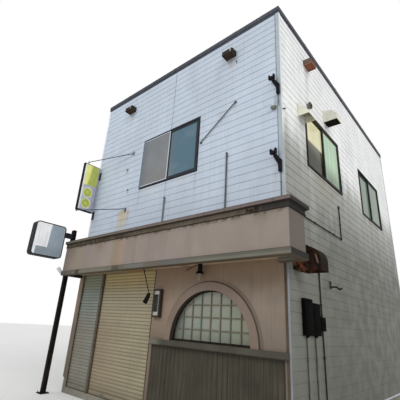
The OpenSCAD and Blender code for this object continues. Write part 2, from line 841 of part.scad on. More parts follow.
// Louvred cap on a short stub
module round_vent() {
    stub = 40;
    cap = 30;
    color("slategray") on_side() translate([round_vent_at, 0, round_vent_z]) rotate([90, 0, 0]) {
        cylinder(h = stub, d = 0.7 * round_vent_d);
        translate([0, 0, stub]) cylinder(h = cap, d = round_vent_d);
        translate([0, 0, stub + cap]) cylinder(h = cap / 2, d1 = round_vent_d, d2 = 0.6 * round_vent_d);
    }
}

// A hood over a wall opening, open to the wall: its outline is shrunk towards the wall for the inside
module open_hood(outline, out, w) {
    f = 1 - sheet_t / out;
    sheet_hood(outline, [for (p = outline)
        [p.x > 0 ? p.x * f : -sheet_t, p.y > 0 ? p.y * f : -sheet_t]], w);
}

// A plain sloped hood beside the windows and a deeper one with a broken slope
module weather_hoods() {
    near_lip = 0.15 * near_hood_h;
    far_lip = 0.45 * far_hood_h;
    color("wheat") on_side() {
        translate([near_hood_at, 0, near_hood_z])
            open_hood([[0, 0], [near_hood_out, 0], [near_hood_out, near_lip], [0, near_hood_h]],
                near_hood_out, near_hood_w);
        translate([far_hood_at, 0, far_hood_z])
            open_hood([[0, 0], [far_hood_out, 0], [far_hood_out, far_lip],
                [0.7 * far_hood_out, 0.9 * far_hood_h], [0, far_hood_h]], far_hood_out, far_hood_w);
    }
}

// Exhaust hood: the sloped back rolls over into an upright front, and the underside dips outwards
module exhaust_hood() {
    rise = 35;
    dip_at = 0.28;
    roll_end = 63;
    function roll_outline(s, low) = concat(
        [[s, rise + low], [dip_at * exhaust_out, low], [exhaust_out - s, low]],
        arc(exhaust_out - exhaust_roll, exhaust_front, exhaust_roll - s, 0, roll_end, 8),
        [[s, exhaust_h - 1.6 * s]]);
    color("saddlebrown") on_side() translate([exhaust_at, 0, exhaust_z])
        sheet_hood(roll_outline(0, 0), roll_outline(sheet_t, -sheet_t), exhaust_w);
}

// Two meter boxes side by side, and a small switch box beside them
module meter_boxes() {
    far_meter_at = meter_at + near_meter_w + fit_gap;
    far_meter_out = meter_out - 5;
    color("dimgray") on_side() {
        translate([meter_at, -meter_out, meter_z]) cube([near_meter_w, meter_out, near_meter_h]);
        translate([far_meter_at, -far_meter_out, meter_z]) cube([far_meter_w, far_meter_out, far_meter_h]);
        translate([switch_at, -meter_out, switch_z]) cube([switch_w, meter_out, switch_h]);
    }
}

// Upright pipe in front of a wall, held by saddles at the given levels
strap_w = 22;
strap_t = 2;

module upright_pipe(x, from, to, d, saddles) {
    tab = 14;
    rod([x, -pipe_gap - d / 2, from], [x, -pipe_gap - d / 2, to], d);
    for (z = saddles)
        block([x - d / 2 - tab, -pipe_gap - d - strap_t, z], [x + d / 2 + tab, 0, z + strap_w]);
}

// Supply pipes up to the boxes, and a long conduit that runs back along the side wall and up
module conduits() {
    start = 60;
    level_y = -pipe_gap - conduit_d / 2;
    supply_saddles = [meter_z - 320, meter_z - 1080];
    color("gray") on_side() {
        for (x = [meter_at + 0.45 * near_meter_w, meter_at + near_meter_w + 0.5 * far_meter_w])
            upright_pipe(x, 0, meter_z, supply_pipe_d, supply_saddles);
        upright_pipe(switch_pipe_at, 0, switch_z, conduit_d, supply_saddles);
        upright_pipe(switch_pipe_at, switch_z + switch_h, switch_pipe_top, conduit_d,
            [switch_z + switch_h + 180, switch_pipe_top - 60]);
        rod([start, level_y, long_pipe_z], [long_pipe_turn, level_y, long_pipe_z], conduit_d);
        upright_pipe(long_pipe_turn, long_pipe_z - conduit_d / 2, long_pipe_top, conduit_d,
            [long_pipe_z + 300, long_pipe_top - 50]);
        for (part = [0.08, 0.45, 0.82]) translate([part * long_pipe_turn, 0, long_pipe_z])
            block([0, -pipe_gap - conduit_d - strap_t, -conduit_d], [strap_w, 0, conduit_d]);
    }
}

// Rainwater head under the roof outlet in the rear wall, and the pipe down from it
outlet_w = 110;
outlet_h = 60;
rain_head_z = deck_front - roof_fall;

module rain_pipe() {
    head_w = 240;
    head_h = 190;
    head_out = 150;
    foot_z = 90;
    pipe_top = rain_head_z - head_h;
    color("gray") on_rear() translate([rain_pipe_at, 0, 0]) {
        translate([-head_w / 2, -head_out, pipe_top]) difference() {
            cube([head_w, head_out, head_h]);
            translate([sheet_t, sheet_t, sheet_t])
                cube([head_w - 2 * sheet_t, head_out - 2 * sheet_t, head_h]);
        }
        upright_pipe(0, foot_z, pipe_top, rain_pipe_d,
            [plinth_z + 150, storey_z - 900, storey_z + 300, storey_z + 1800, pipe_top - 400]);
    }
}

// A stand-off arm at the street corner that once held the supply wires, foot at the origin.
// Its cross piece is a bar that turns up at both ends.
module wire_bracket() {
    upright_h = 0.62 * bracket_rise;
    arm_w = 0.75 * bracket_t;
    cross_w = 112;
    cross_h = 52;
    lug_w = 26;
    lug_h = 34;
    half = bracket_t / 2;
    stand = trim_t + half;
    elbow = [0, -stand, upright_h - half];
    head = [-bracket_reach, -stand - bracket_t, bracket_rise];
    cross = [[0, 0], [cross_w, 0], [cross_w, cross_h + lug_h], [cross_w - lug_w, cross_h + lug_h],
        [cross_w - lug_w, cross_h], [lug_w, cross_h], [lug_w, cross_h + lug_h], [0, cross_h + lug_h]];
    color("black") {
        block([-half, -trim_t - bracket_t, 0], [half, -trim_t, upright_h]);
        aimed(elbow, head) translate([-arm_w / 2, -arm_w / 2, 0]) cube([arm_w, arm_w, norm(head - elbow)]);
        translate([-bracket_reach - cross_w / 2, -stand - bracket_t + half, bracket_rise - cross_h / 2])
            rotate([90, 0, 0]) linear_extrude(bracket_t) polygon(cross);
    }
}

// The two wire brackets on the corner trim, and a small hook on the side wall
module service_brackets() {
    on_front() for (z = [low_bracket_z, high_bracket_z])
        translate([bracket_t / 2 - trim_front_w, 0, z]) wire_bracket();
    plate_w = 44;
    plate_t = 24;
    plate_h = 130;
    hook = 45;
    hook_d = 32;
    color("black") on_side() translate([hook_at, 0, hook_z]) {
        block([-plate_w / 2, -plate_t, -plate_h / 4], [plate_w / 2, 0, 3 * plate_h / 4]);
        rod([0, -plate_t / 2, 0], [0, -hook_out, 0], hook_d);
        rod([0, -hook_out + 4, 4], [0, -hook_out - hook, -hook], hook_d);
        rod([0, -hook_out - hook + 4, -hook], [0, -hook_out - 2 * hook, -hook / 2], hook_d);
    }
}

// Stem, flared bell and lamp glass in one turned piece under the soffit
module shop_lamp() {
    stem_h = 100;
    stem_r = 38;
    bell_h = 70;
    bell_r = 73;
    glass_h = 100;
    glass_r = 34;
    bell_z = -stem_h - bell_h;
    flare_x = bell_r + 10;
    color("black") on_front() translate([-shop_lamp_at, -shop_lamp_out, soffit_z]) rotate_extrude()
        polygon(concat([[0, 0], [stem_r, 0]], arc(flare_x, -stem_h, flare_x - stem_r, 180, 235, 5),
            [[bell_r, bell_z], [glass_r, bell_z]], arc(0, bell_z - glass_h + glass_r, glass_r, 0, -90, 6)));
}

// Tray that has lost its cover, with the two sockets that held its tube
module lamp_case() {
    rim = 34;
    back_t = 14;
    socket_h = 62;
    inner_w = lamp_case_w - 2 * rim;
    color("dimgray") on_front() translate([-lamp_case_at - lamp_case_w / 2, -lamp_case_d, lamp_case_z]) {
        difference() {
            cube([lamp_case_w, lamp_case_d, lamp_case_h]);
            translate([rim, -back_t, rim]) cube([inner_w, lamp_case_d, lamp_case_h - 2 * rim]);
        }
        for (z = [rim, lamp_case_h - rim - socket_h])
            translate([rim, back_t, z]) cube([inner_w, lamp_case_d - back_t, socket_h]);
    }
}

// Spotlight can on a slanting rod: closed back, flared shade and a glass set into it
module hanging_spotlight() {
    rose_h = 14;
    rose_d = 60;
    rod_d = 16;
    rod_side = -245;
    joint_d = 46;
    lean = [-96, 0, -148];
    shade_l = norm(lean);
    shade_r = 43;
    color("black") on_front() translate([-spot_at, -spot_out, 0]) {
        translate([rod_side, 0, soffit_z - rose_h]) cylinder(h = rose_h, d = rose_d);
        rod([rod_side, 0, soffit_z - rose_h / 2], [0, 0, spot_z], rod_d);
        translate([0, 0, spot_z]) sphere(d = joint_d);
        aimed([0, 0, spot_z], [0, 0, spot_z] + lean) rotate_extrude()
            polygon([[0, 0], [0.55 * shade_r, 0], [0.85 * shade_r, 0.3 * shade_l], [shade_r, shade_l],
                [shade_r - 4, shade_l], [shade_r - 7, shade_l - 14], [0, shade_l - 14]]);
    }
}

// Rods left from old signs, and the stays of the tall light box
module wall_rods() {
    off = 30;
    clip = 20;
    plate_t = 24;
    socket_d = 30;
    blade_x = -house_w + blade_over - blade_t / 2;
    blade_top = blade_z + blade_h;
    upper_out = blade_gap + 0.76 * blade_w;
    lower_out = blade_gap + 0.96 * blade_w;
    module lug(x, low, high, half, out) block([x - half, -out, low], [x + half, 0, high]);
    color("gray") on_front() {
        for (at = [[-near_rod_at, near_rod_top], [-far_rod_at, far_rod_top]]) {
            rod([at.x, -off, deck_top], [at.x, -off, at.y], upright_rod_d);
            lug(at.x, at.y - 3 * clip, at.y - 2 * clip, clip, off + clip / 5);
        }
        rod([-slant_low_at, -off, slant_low_z], [-slant_high_at, -off, slant_high_z], stay_d);
        lug(-slant_low_at, slant_low_z - clip, slant_low_z + clip, clip, off + clip / 5);
        lug(-slant_high_at, slant_high_z - clip, slant_high_z + clip, clip, off + clip / 5);
        lug(-stay_at, upper_stay_z - 2 * clip, upper_stay_z + 2 * clip, 2 * clip, plate_t);
        lug(-stay_at, lower_stay_z - 4 * clip, lower_stay_z + clip, clip, plate_t);
        rod([-stay_at, -plate_t + 4, upper_stay_z], [blade_x, -upper_out, blade_top + stub_h], stay_d);
        rod([-stay_at, -plate_t + 4, lower_stay_z], [blade_x, -lower_out, blade_z - foot_h], stay_d);
        rod([blade_x, -upper_out, blade_top], [blade_x, -upper_out, blade_top + stub_h + stay_d], socket_d);
        rod([blade_x, -lower_out, blade_z - foot_h - stay_d], [blade_x, -lower_out, blade_z], socket_d);
    }
}

// Tall light box with a face let into both broad sides, and its two brackets on the wall
module blade_sign() {
    right = -house_w + blade_over;
    front = -blade_gap - blade_w;
    plate_left = -house_w + 15;
    plate_w = 90;
    plate_t = 24;
    arm_t = 30;
    color("gold") on_front() difference() {
        translate([right - blade_t, front, blade_z]) cube([blade_t, blade_w, blade_h]);
        for (x = [right - blade_t - sign_face_in, right - sign_face_in])
            translate([x, front + sign_frame_w, blade_z + sign_frame_w])
                cube([2 * sign_face_in, blade_w - 2 * sign_frame_w, blade_h - 2 * sign_frame_w]);
    }
    brackets = [[-170, 50], [blade_h - 350, blade_h - 137]];
    color("black") on_front() translate([0, 0, blade_z]) for (span = brackets) {
        block([plate_left, -plate_t, span[0]], [plate_left + plate_w, 0, span[1]]);
        block([plate_left, -blade_gap, span[1] - arm_t], [plate_left + arm_t, 0, span[1]]);
    }
}

module sign_post() {
    color("black") translate([lx - canopy_left - sign_post_w, fy - sign_post_out - sign_post_w, 0])
        cube([sign_post_w, sign_post_w, sign_post_h]);
}

// A slab with rounded corners: thickness along x, width along y, height along z
module rounded_slab(t, w, h, r) {
    translate([0, r, 0]) cube([t, w - 2 * r, h]);
    translate([0, 0, r]) cube([t, w, h - 2 * r]);
    for (y = [r, w - r], z = [r, h - r]) translate([0, y, z]) rotate([0, 90, 0]) cylinder(h = t, r = r);
}

// Rounded light box with a face let into both sides, on an arm that is bolted to the post
module post_sign() {
    corner_r = 80;
    past_post = 157;
    arm_w = 70;
    arm_h = 120;
    post_left = lx - canopy_left - sign_post_w;
    post_front = fy - sign_post_out - sign_post_w;
    face_w = plate_w - 2 * sign_frame_w;
    face_h = plate_h - 2 * sign_frame_w;
    color("white") translate([post_left - past_post, fy - plate_out - plate_w, plate_z]) difference() {
        rounded_slab(plate_t, plate_w, plate_h, corner_r);
        for (x = [-sign_face_in, plate_t - sign_face_in]) translate([x, sign_frame_w, sign_frame_w])
            rounded_slab(2 * sign_face_in, face_w, face_h, corner_r - sign_frame_w);
    }
    color("black")
        translate([post_left + (sign_post_w - arm_w) / 2, fy - plate_out, plate_z + 0.67 * plate_h])
            cube([arm_w, post_front - fy + plate_out, arm_h]);
}

foundation();
party_wall();
side_wall();
rear_wall();
front_wall_ground();
shutter_pier();
shutter_header();
front_wall_upper();
upper_floor();
roof_deck();
roof_coping();
canopy_fascia();
canopy_cornice();
canopy_band();
canopy_soffit();
canopy_deck();
main_shutter();
side_shutter();
shutter_guides();
arch_surround();
arch_frame();
arch_lattice();
arch_glass();
window_ledge();
base_panel();
window_frames();
window_sashes();
window_glass();
insect_screen();
corner_trim();
vent_hoods();
round_vent();
weather_hoods();
exhaust_hood();
meter_boxes();
conduits();
rain_pipe();
service_brackets();
shop_lamp();
lamp_case();
hanging_spotlight();
wall_rods();
blade_sign();
sign_post();
post_sign();
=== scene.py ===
"""Corner shop building: siding, signs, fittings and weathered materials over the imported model."""
import math
from itertools import product

import bmesh
import bpy
from mathutils import Matrix, Vector


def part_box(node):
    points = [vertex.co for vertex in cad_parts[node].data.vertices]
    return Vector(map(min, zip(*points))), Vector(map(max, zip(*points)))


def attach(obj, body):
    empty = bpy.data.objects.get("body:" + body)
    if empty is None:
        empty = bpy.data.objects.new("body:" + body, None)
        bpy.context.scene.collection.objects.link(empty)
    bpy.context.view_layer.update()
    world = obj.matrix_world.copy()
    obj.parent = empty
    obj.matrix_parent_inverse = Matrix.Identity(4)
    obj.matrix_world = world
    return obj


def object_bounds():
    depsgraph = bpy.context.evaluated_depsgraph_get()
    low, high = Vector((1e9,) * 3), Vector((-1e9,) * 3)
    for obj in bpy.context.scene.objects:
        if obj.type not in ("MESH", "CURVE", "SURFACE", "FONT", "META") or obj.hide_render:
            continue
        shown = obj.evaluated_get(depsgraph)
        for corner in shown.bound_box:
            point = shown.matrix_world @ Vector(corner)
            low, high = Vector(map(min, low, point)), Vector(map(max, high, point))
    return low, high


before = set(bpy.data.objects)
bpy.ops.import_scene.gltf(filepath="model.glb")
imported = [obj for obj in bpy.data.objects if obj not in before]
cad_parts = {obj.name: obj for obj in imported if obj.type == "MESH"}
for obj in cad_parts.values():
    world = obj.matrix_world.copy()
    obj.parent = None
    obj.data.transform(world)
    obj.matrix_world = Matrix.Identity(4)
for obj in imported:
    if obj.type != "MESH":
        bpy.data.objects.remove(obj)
cad_low, cad_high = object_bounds()

BODY = "root"

# Main planes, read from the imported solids.
STREET_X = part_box("side_wall")[1].x
PARTY_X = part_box("party_wall")[0].x
FRONT_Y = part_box("front_wall_upper")[0].y
REAR_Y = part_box("rear_wall")[1].y
STOREY_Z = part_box("canopy_cornice")[1].z
PLINTH_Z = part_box("foundation")[1].z
COPING_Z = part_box("roof_coping")[0].z
HOUSE_W = STREET_X - PARTY_X
HOUSE_D = REAR_Y - FRONT_Y

# Windows as (along low, along high, sill, head) on their own wall.
WIN_W, WIN_H = 1.79, 1.27
UPPER_SILL, LOWER_SILL = 4.42, 1.30
FRONT_WINDOW = (-3.65, -1.86, UPPER_SILL, UPPER_SILL + WIN_H)
SIDE_WINDOWS = [(a, a + WIN_W, UPPER_SILL, UPPER_SILL + WIN_H) for a in (0.965, 4.255)]
REAR_WINDOWS = [(1.86, 3.65, z, z + WIN_H) for z in (LOWER_SILL, UPPER_SILL)]

# Rain pipe on the rear, and the roof outlet above it as a hole in the siding.
RAIN_PIPE = 4.95
ROOF_OUTLET = (RAIN_PIPE - 0.055, RAIN_PIPE + 0.055, 7.05, 7.11)

# Posts of the two wire brackets at the street corner: their place along the front, and their feet.
WIRE_POST = -0.031
WIRE_FEET = (3.905, 5.410)

# Light boxes: the tall one and the rounded one on the post.
BLADE_X = (STREET_X - 5.536, STREET_X - 5.45)
BLADE_OUT = (0.04, 0.50)
BLADE_Z = (4.132, 5.437)
PLATE_X = (-3.02, -2.82)
PLATE_Y = (-4.97, -4.23)
PLATE_Z = (2.84, 3.63)

# The arched window: its middle from the street corner, springing level, clear radius, moulding width.
ARCH_ALONG, ARCH_Z, ARCH_R, ARCH_RING = -1.41, 1.28, 0.82, 0.14

# Stains and masks on an axis are measured from the street corner of the front, and from the ground.
START = {"X": STREET_X, "Y": FRONT_Y, "Z": 0.0}

# Steps along the front that part the side windows, and the side fittings, from those of the front.
SIDE_WINDOW_STEP, SIDE_FITTING_STEP = (-0.14, -0.12), (0.001, 0.003)

# Directions on the building, and turning axes in wall coordinates.
TO_STREET, TO_FRONT, TO_REAR, UP, DOWN = (1, 0, 0), (0, -1, 0), (0, 1, 0), (0, 0, 1), (0, 0, -1)
ALONG, OUTWARD = (1, 0, 0), (0, 1, 0)

# Each small solid starts this far inside what carries it.
SEAT = 0.001


# Places on a wall: along it, out from its face, and up. Along runs from the street corner.
def front(along, out, high):
    """On the front; along is negative towards the party wall."""
    return Vector((STREET_X + along, FRONT_Y - out, high))


def side(along, out, high):
    """On the street side; along grows towards the rear."""
    return Vector((STREET_X + out, FRONT_Y + along, high))


def rear(along, out, high):
    """On the rear; along grows towards the party wall."""
    return Vector((STREET_X - along, REAR_Y + out, high))


def party(along, out, high):
    """On the party side; along grows towards the front."""
    return Vector((PARTY_X - out, REAR_Y - along, high))


def open_air(x, y, z):
    """Anywhere, in the building's own frame."""
    return Vector((x, y, z))


def square_to(axis):
    """A direction square to an axis."""
    guide = Vector((0, 0, 1)) if abs(axis.z) < 0.9 else Vector((1, 0, 0))
    return axis.cross(guide).normalized()


class Shape:
    """Gathers closed solids in wall coordinates and makes one piece of them."""

    def __init__(self, place=front):
        self.mesh = bmesh.new()
        self.place = place

    def points(self, coords):
        return [self.mesh.verts.new(self.place(*c)) for c in coords]

    def prism(self, first, last):
        """Solid between two outlines with the same number of points."""
        a, b = self.points(first), self.points(last)
        faces = [self.mesh.faces.new(a), self.mesh.faces.new(b[::-1])]
        for i in range(len(a)):
            j = (i + 1) % len(a)
            faces.append(self.mesh.faces.new((a[i], b[i], b[j], a[j])))
        return faces

    def box(self, along, out, high, soft=0.0):
        """Box from three (low, high) pairs, with its edges rounded off by soft."""
        ring = [(along[0], out[0]), (along[1], out[0]), (along[1], out[1]), (along[0], out[1])]
        faces = self.prism([(a, o, high[0]) for a, o in ring], [(a, o, high[1]) for a, o in ring])
        if soft:
            edges = list({e for f in faces for e in f.edges})
            bmesh.ops.bevel(self.mesh, geom=edges, offset=soft, segments=2, profile=0.6, affect="EDGES")

    def bars(self, along, out, high, width, soft=0.0):
        """Four bars round the inside of an oblong."""
        (left, right), (foot, top) = along, high
        upright = (foot + width, top - width)
        self.box(along, out, (foot, foot + width), soft)
        self.box(along, out, (top - width, top), soft)
        self.box((left, left + width), out, upright, soft)
        self.box((right - width, right), out, upright, soft)

    def run(self, section, along):
        """Section of (out, high) points drawn out along the wall."""
        self.prism([(along[0], o, h) for o, h in section], [(along[1], o, h) for o, h in section])

    def slab(self, outline, out):
        """Outline of (along, high) points, thick from one distance out to the other."""
        self.prism([(a, out[0], h) for a, h in outline], [(a, out[1], h) for a, h in outline])

    def upright(self, outline, high):
        """Outline of (along, out) points, drawn up from one level to the other."""
        self.prism([(a, o, high[0]) for a, o in outline], [(a, o, high[1]) for a, o in outline])

    def ring(self, centre, axis, across, radius, sides):
        """Corners of a round section."""
        other = axis.cross(across)
        turns = [2 * math.pi * k / sides for k in range(sides)]
        return [self.mesh.verts.new(centre + (across * math.cos(t) + other * math.sin(t)) * radius)
                for t in turns]

    def skin(self, rings):
        """Joins rings to one closed round solid."""
        self.mesh.faces.new(rings[0][::-1])
        self.mesh.faces.new(rings[-1])
        for low, high in zip(rings, rings[1:]):
            for k in range(len(low)):
                n = (k + 1) % len(low)
                self.mesh.faces.new((low[k], low[n], high[n], high[k]))

    def tube(self, path, radius, sides=8):
        """Round bar along a path of (along, out, high) points."""
        path = [self.place(*p) for p in path]
        steps = [(b - a).normalized() for a, b in zip(path, path[1:])]
        across = square_to(steps[0])
        rings = []
        for i, point in enumerate(path):
            before, after = steps[max(i - 1, 0)], steps[min(i, len(steps) - 1)]
            axis = (before + after).normalized()
            across = (across - axis * across.dot(axis)).normalized()
            mitred = radius / max(0.5, axis.dot(after))
            rings.append(self.ring(point, axis, across, mitred, sides))
        self.skin(rings)

    def turned(self, centre, profile, sides=24, axis=UP):
        """Profile of (radius, distance) points turned about an axis through centre."""
        path = [self.place(*[c + a * d for c, a in zip(centre, axis)]) for _, d in profile]
        line = next(b - a for a in path for b in path if (b - a).length > 1e-6).normalized()
        across = square_to(line)
        self.skin([self.ring(p, line, across, r, sides) for p, (r, _) in zip(path, profile)])

    def screw(self, along, out, high, size):
        """Round-headed screw that stands out from the wall."""
        self.turned((along, out, high), [(size, 0), (size, 0.002), (size * 0.6, 0.004)], 10, OUTWARD)

    def piece(self, name, paint, slot, smooth=25):
        """Makes the object with its paint and lets it ride on the building."""
        bmesh.ops.recalc_face_normals(self.mesh, faces=self.mesh.faces)
        data = bpy.data.meshes.new(name)
        self.mesh.to_mesh(data)
        self.mesh.free()
        data.materials.append(paint.done())
        data.shade_smooth()
        data.set_sharp_from_angle(angle=math.radians(smooth))
        made = bpy.data.objects.new(name, data)
        bpy.context.scene.collection.objects.link(made)
        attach(made, BODY)


def linear(colour):
    """Linear RGBA of an sRGB colour given in 0 to 255."""
    parts = [c / 255 for c in colour]
    return (*[c / 12.92 if c <= 0.04045 else ((c + 0.055) / 1.055) ** 2.4 for c in parts], 1.0)


def darker(colour, share):
    return tuple(c * share for c in colour)


class Paint:
    """One procedural material in object coordinates, which are metres in the building's frame."""

    def __init__(self, name, colour, rough=0.6, metal=0.0, sheen=0.5, **settings):
        self.material = bpy.data.materials.new(name)
        self.material.use_nodes = True
        self.tree = self.material.node_tree
        self.shader = self.tree.nodes["Principled BSDF"]
        self.shader.inputs["Metallic"].default_value = metal
        self.shader.inputs["Roughness"].default_value = rough
        self.shader.inputs["Specular IOR Level"].default_value = sheen
        for socket, value in settings.items():
            self.shader.inputs[socket.replace("_", " ")].default_value = value
        self.metres = self.add("TexCoord").outputs["Object"]
        self.split = self.add("SeparateXYZ", {0: self.metres}).outputs
        self.colour = linear(colour)
        self.normal = None

    def add(self, kind, inputs=(), **settings):
        """A shader node with values or links on its inputs."""
        node = self.tree.nodes.new("ShaderNode" + kind)
        for key, value in settings.items():
            setattr(node, key, value)
        for key, value in dict(inputs).items():
            if isinstance(value, bpy.types.NodeSocket):
                self.tree.links.new(value, node.inputs[key])
            else:
                node.inputs[key].default_value = value
        return node

    def math(self, operation, a, b=0.0):
        return self.add("Math", {0: a, 1: b}, operation=operation).outputs[0]

    def times(self, *masks):
        """The masks multiplied with each other."""
        both = masks[0]
        for mask in masks[1:]:
            both = self.math("MULTIPLY", both, mask)
        return both

    def gap(self, value, middle):
        """How far a value is from a middle one."""
        return self.math("ABSOLUTE", self.math("SUBTRACT", value, middle))

    def ramp(self, value, low, high, to_low=0.0, to_high=1.0):
        """Smooth step from to_low at low to to_high at high."""
        if low > high:
            low, high, to_low, to_high = high, low, to_high, to_low
        inputs = {"Value": value, "From Min": low, "From Max": high, "To Min": to_low, "To Max": to_high}
        return self.add("MapRange", inputs, interpolation_type="SMOOTHSTEP").outputs[0]

    def axis(self, name):
        return self.split["XYZ".index(name)]

    def step(self, name, low, high):
        """0 at one place on an axis and 1 at the other."""
        return self.ramp(self.axis(name), START[name] + low, START[name] + high)

    def x(self, low, high):
        """A step along the front, from the street corner."""
        return self.step("X", low, high)

    def y(self, low, high):
        """A step along the side, from the street corner."""
        return self.step("Y", low, high)

    def z(self, low, high):
        """A step up from the ground."""
        return self.step("Z", low, high)

    def between(self, value, low, high, soft=0.002):
        """1 between two values, with soft edges."""
        above, below = self.ramp(value, low - soft, low + soft), self.ramp(value, high + soft, high - soft)
        return self.times(above, below)

    def band(self, name, low, high, soft):
        """1 between two places on an axis."""
        return self.between(self.axis(name), START[name] + low, START[name] + high, soft)

    def joint(self, name, start, pitch, low, high):
        """1 at the joints of boards that repeat along an axis."""
        along = self.math("DIVIDE", self.math("SUBTRACT", self.axis(name), start), pitch)
        return self.ramp(self.gap(self.math("FRACT", along), 0.5), low, high)

    def noise(self, size, seed, detail=3, tall=1, deep=1):
        """Noise about 0.5 with blotches about size metres across, drawn out upwards or rearwards."""
        scale = (1 / size, 1 / (size * deep), 1 / (size * tall))
        place = self.add("Mapping", {"Vector": self.metres, "Scale": scale,
                                     "Location": (seed * 7.3, seed * 3.1, seed * 1.7)}).outputs[0]
        return self.add("TexNoise", {"Vector": place, "Scale": 1.0, "Detail": detail}).outputs[0]

    def patch(self, size, seed, low, high, dim=0.0, **form):
        """Blotches of noise, from dim between them to 1."""
        return self.ramp(self.noise(size, seed, **form), low, high, dim, 1)

    def layer(self, colour, amount, *masks):
        """Lays a colour over what is there, by the product of the masks."""
        factor = self.times(*masks)
        if amount != 1:
            factor = self.math("MULTIPLY", factor, amount)
        mix = self.add("Mix", {0: factor, 6: self.colour, 7: linear(colour)}, data_type="RGBA")
        self.colour = mix.outputs[2]

    def shade(self, value, low, high, dark, light):
        """Darkens where value is near low and lightens where it is near high."""
        level = self.ramp(value, low, high, dark, light)
        mix = self.add("Mix", {0: 1.0, 6: self.colour, 7: level}, data_type="RGBA", blend_type="MULTIPLY")
        self.colour = mix.outputs[2]

    def mottle(self, size, depth, seed=1, **form):
        """Broad soft change of tone."""
        self.shade(self.noise(size, seed, 4, **form), 0.3, 0.7, 1 - depth, 1 + depth * 0.4)

    def streaks(self, colour, amount, width, length, seed, low=0.5, high=0.75):
        """Thin runs of dirt down a wall."""
        self.layer(colour, amount, self.patch(width, seed, low, high, tall=length / width))

    def spots(self, colour, amount, size, share, seed, soft=0.05):
        """Scattered spots; a larger share value leaves fewer."""
        self.layer(colour, amount, self.patch(size, seed, share, share + soft, detail=5))

    def drip(self, name, along, top, length, width, colour, amount, seed=0):
        """A stain that runs down from one place."""
        across = self.ramp(self.gap(self.axis(name), START[name] + along), width / 2, 0)
        fade, above = self.z(top - length, top), self.z(top + 0.01, top - 0.01)
        self.layer(colour, amount, across, fade, above, self.patch(0.02, seed, 0.3, 0.6, 0.35, tall=20))

    def grain(self, size, seed, depth, strength=0.5, **form):
        """Roughens the surface by a depth."""
        inputs = {"Height": self.noise(size, seed, **form), "Distance": depth, "Strength": strength}
        if self.normal is not None:
            inputs["Normal"] = self.normal
        self.normal = self.add("Bump", inputs).outputs[0]

    def sprayed(self, depth):
        """The two grains of sprayed cement render."""
        self.grain(0.008, 6, depth, 0.7, detail=4)
        self.grain(0.06, 7, depth * 2, 0.4)

    def gloss(self, size, seed, smooth, rough):
        """Roughness that changes in blotches."""
        level = self.ramp(self.noise(size, seed), 0.3, 0.7, smooth, rough)
        self.tree.links.new(level, self.shader.inputs["Roughness"])

    def facing(self, direction, low=0.4, high=0.7):
        """1 where the surface faces a direction in the building's frame."""
        normal = self.add("TexCoord").outputs["Normal"]
        along = self.add("VectorMath", {0: normal, 1: direction}, operation="DOT_PRODUCT").outputs["Value"]
        return self.ramp(along, low, high)

    def away(self, name, along, high):
        """Distance from a point on a wall that runs along an axis."""
        across = self.math("SUBTRACT", self.axis(name), START[name] + along)
        up = self.math("SUBTRACT", self.axis("Z"), high)
        squares = [self.math("MULTIPLY", part, part) for part in (across, up)]
        return self.math("SQRT", self.math("ADD", *squares))

    def done(self):
        """The material, with its colour and bumps linked to the shader."""
        if isinstance(self.colour, bpy.types.NodeSocket):
            self.tree.links.new(self.colour, self.shader.inputs["Base Color"])
        else:
            self.shader.inputs["Base Color"].default_value = self.colour
        if self.normal is not None:
            self.tree.links.new(self.normal, self.shader.inputs["Normal"])
        return self.material


def dress(paint, *nodes):
    """Gives CAD nodes a better material."""
    for node in nodes:
        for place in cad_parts[node].material_slots:
            place.material = paint.done()


def plain(name, colour, rough=0.5, metal=0.0, dirt=0.2, sheen=0.2):
    """Painted or moulded fitting: soft change of tone, dust and a fine surface."""
    p = Paint(name, colour, rough, metal, sheen)
    p.mottle(0.25, 0.12)
    p.streaks((84, 78, 66), dirt, 0.015, 0.3, 2, 0.45, 0.7)
    p.spots((60, 50, 42), dirt, 0.02, 0.66, 3)
    p.grain(0.006, 4, 0.0004, detail=2)
    p.gloss(0.05, 5, rough * 0.85, min(1.0, rough * 1.2))
    return p


def rusty(name, colour, rust, share, rough=0.8, sheen=0.05):
    """Old painted steel with rust that breaks through."""
    p = Paint(name, colour, rough, 0.0, sheen)
    p.mottle(0.2, 0.2)
    p.spots(rust, 0.9, 0.14, share, 2, 0.10)
    p.spots((40, 26, 20), 0.7, 0.05, 0.62, 3)
    p.streaks((70, 44, 30), 0.4, 0.02, 0.3, 4)
    p.grain(0.02, 5, 0.002, 0.6, detail=5)
    return p


def strip(name, colour):
    """Folded strip of painted metal."""
    return aged_strip(Paint(name, colour, 0.5, 0.1, 0.3))


def aged_strip(p, dirt=0.35, share=0.70):
    """Dirt runs and rust spots of a metal strip."""
    p.mottle(0.4, 0.12)
    p.streaks((110, 108, 98), dirt, 0.02, 0.8, 2)
    p.spots((120, 92, 66), 0.5, 0.02, share, 3)
    return p


def sheet(name, colour):
    """Metal sheet of a roof or deck, with broad rust spots and dust."""
    p = Paint(name, colour, 0.5, 0.4)
    p.mottle(0.7, 0.18)
    p.spots((108, 72, 48), 0.6, 0.09, 0.68, 2)
    p.layer((70, 68, 60), 0.4, p.patch(0.3, 3, 0.5, 0.75, detail=5))
    p.grain(0.3, 4, 0.004, detail=2)
    return p


# Siding: lapped courses with a narrow groove under each, between the corner trim and the end strips.
COURSE, COURSE_START = 0.150, 3.75
GROOVE = 0.008
GROOVE_OUT, LAP_TOP_OUT, LAP_FOOT_OUT = 0.0045, 0.007, 0.010
TRIM_FRONT, TRIM_SIDE, END_TRIM = 0.055, 0.045, 0.050
SIDING_JOINT = -2.735
WINDOW_FLANGE = 0.010
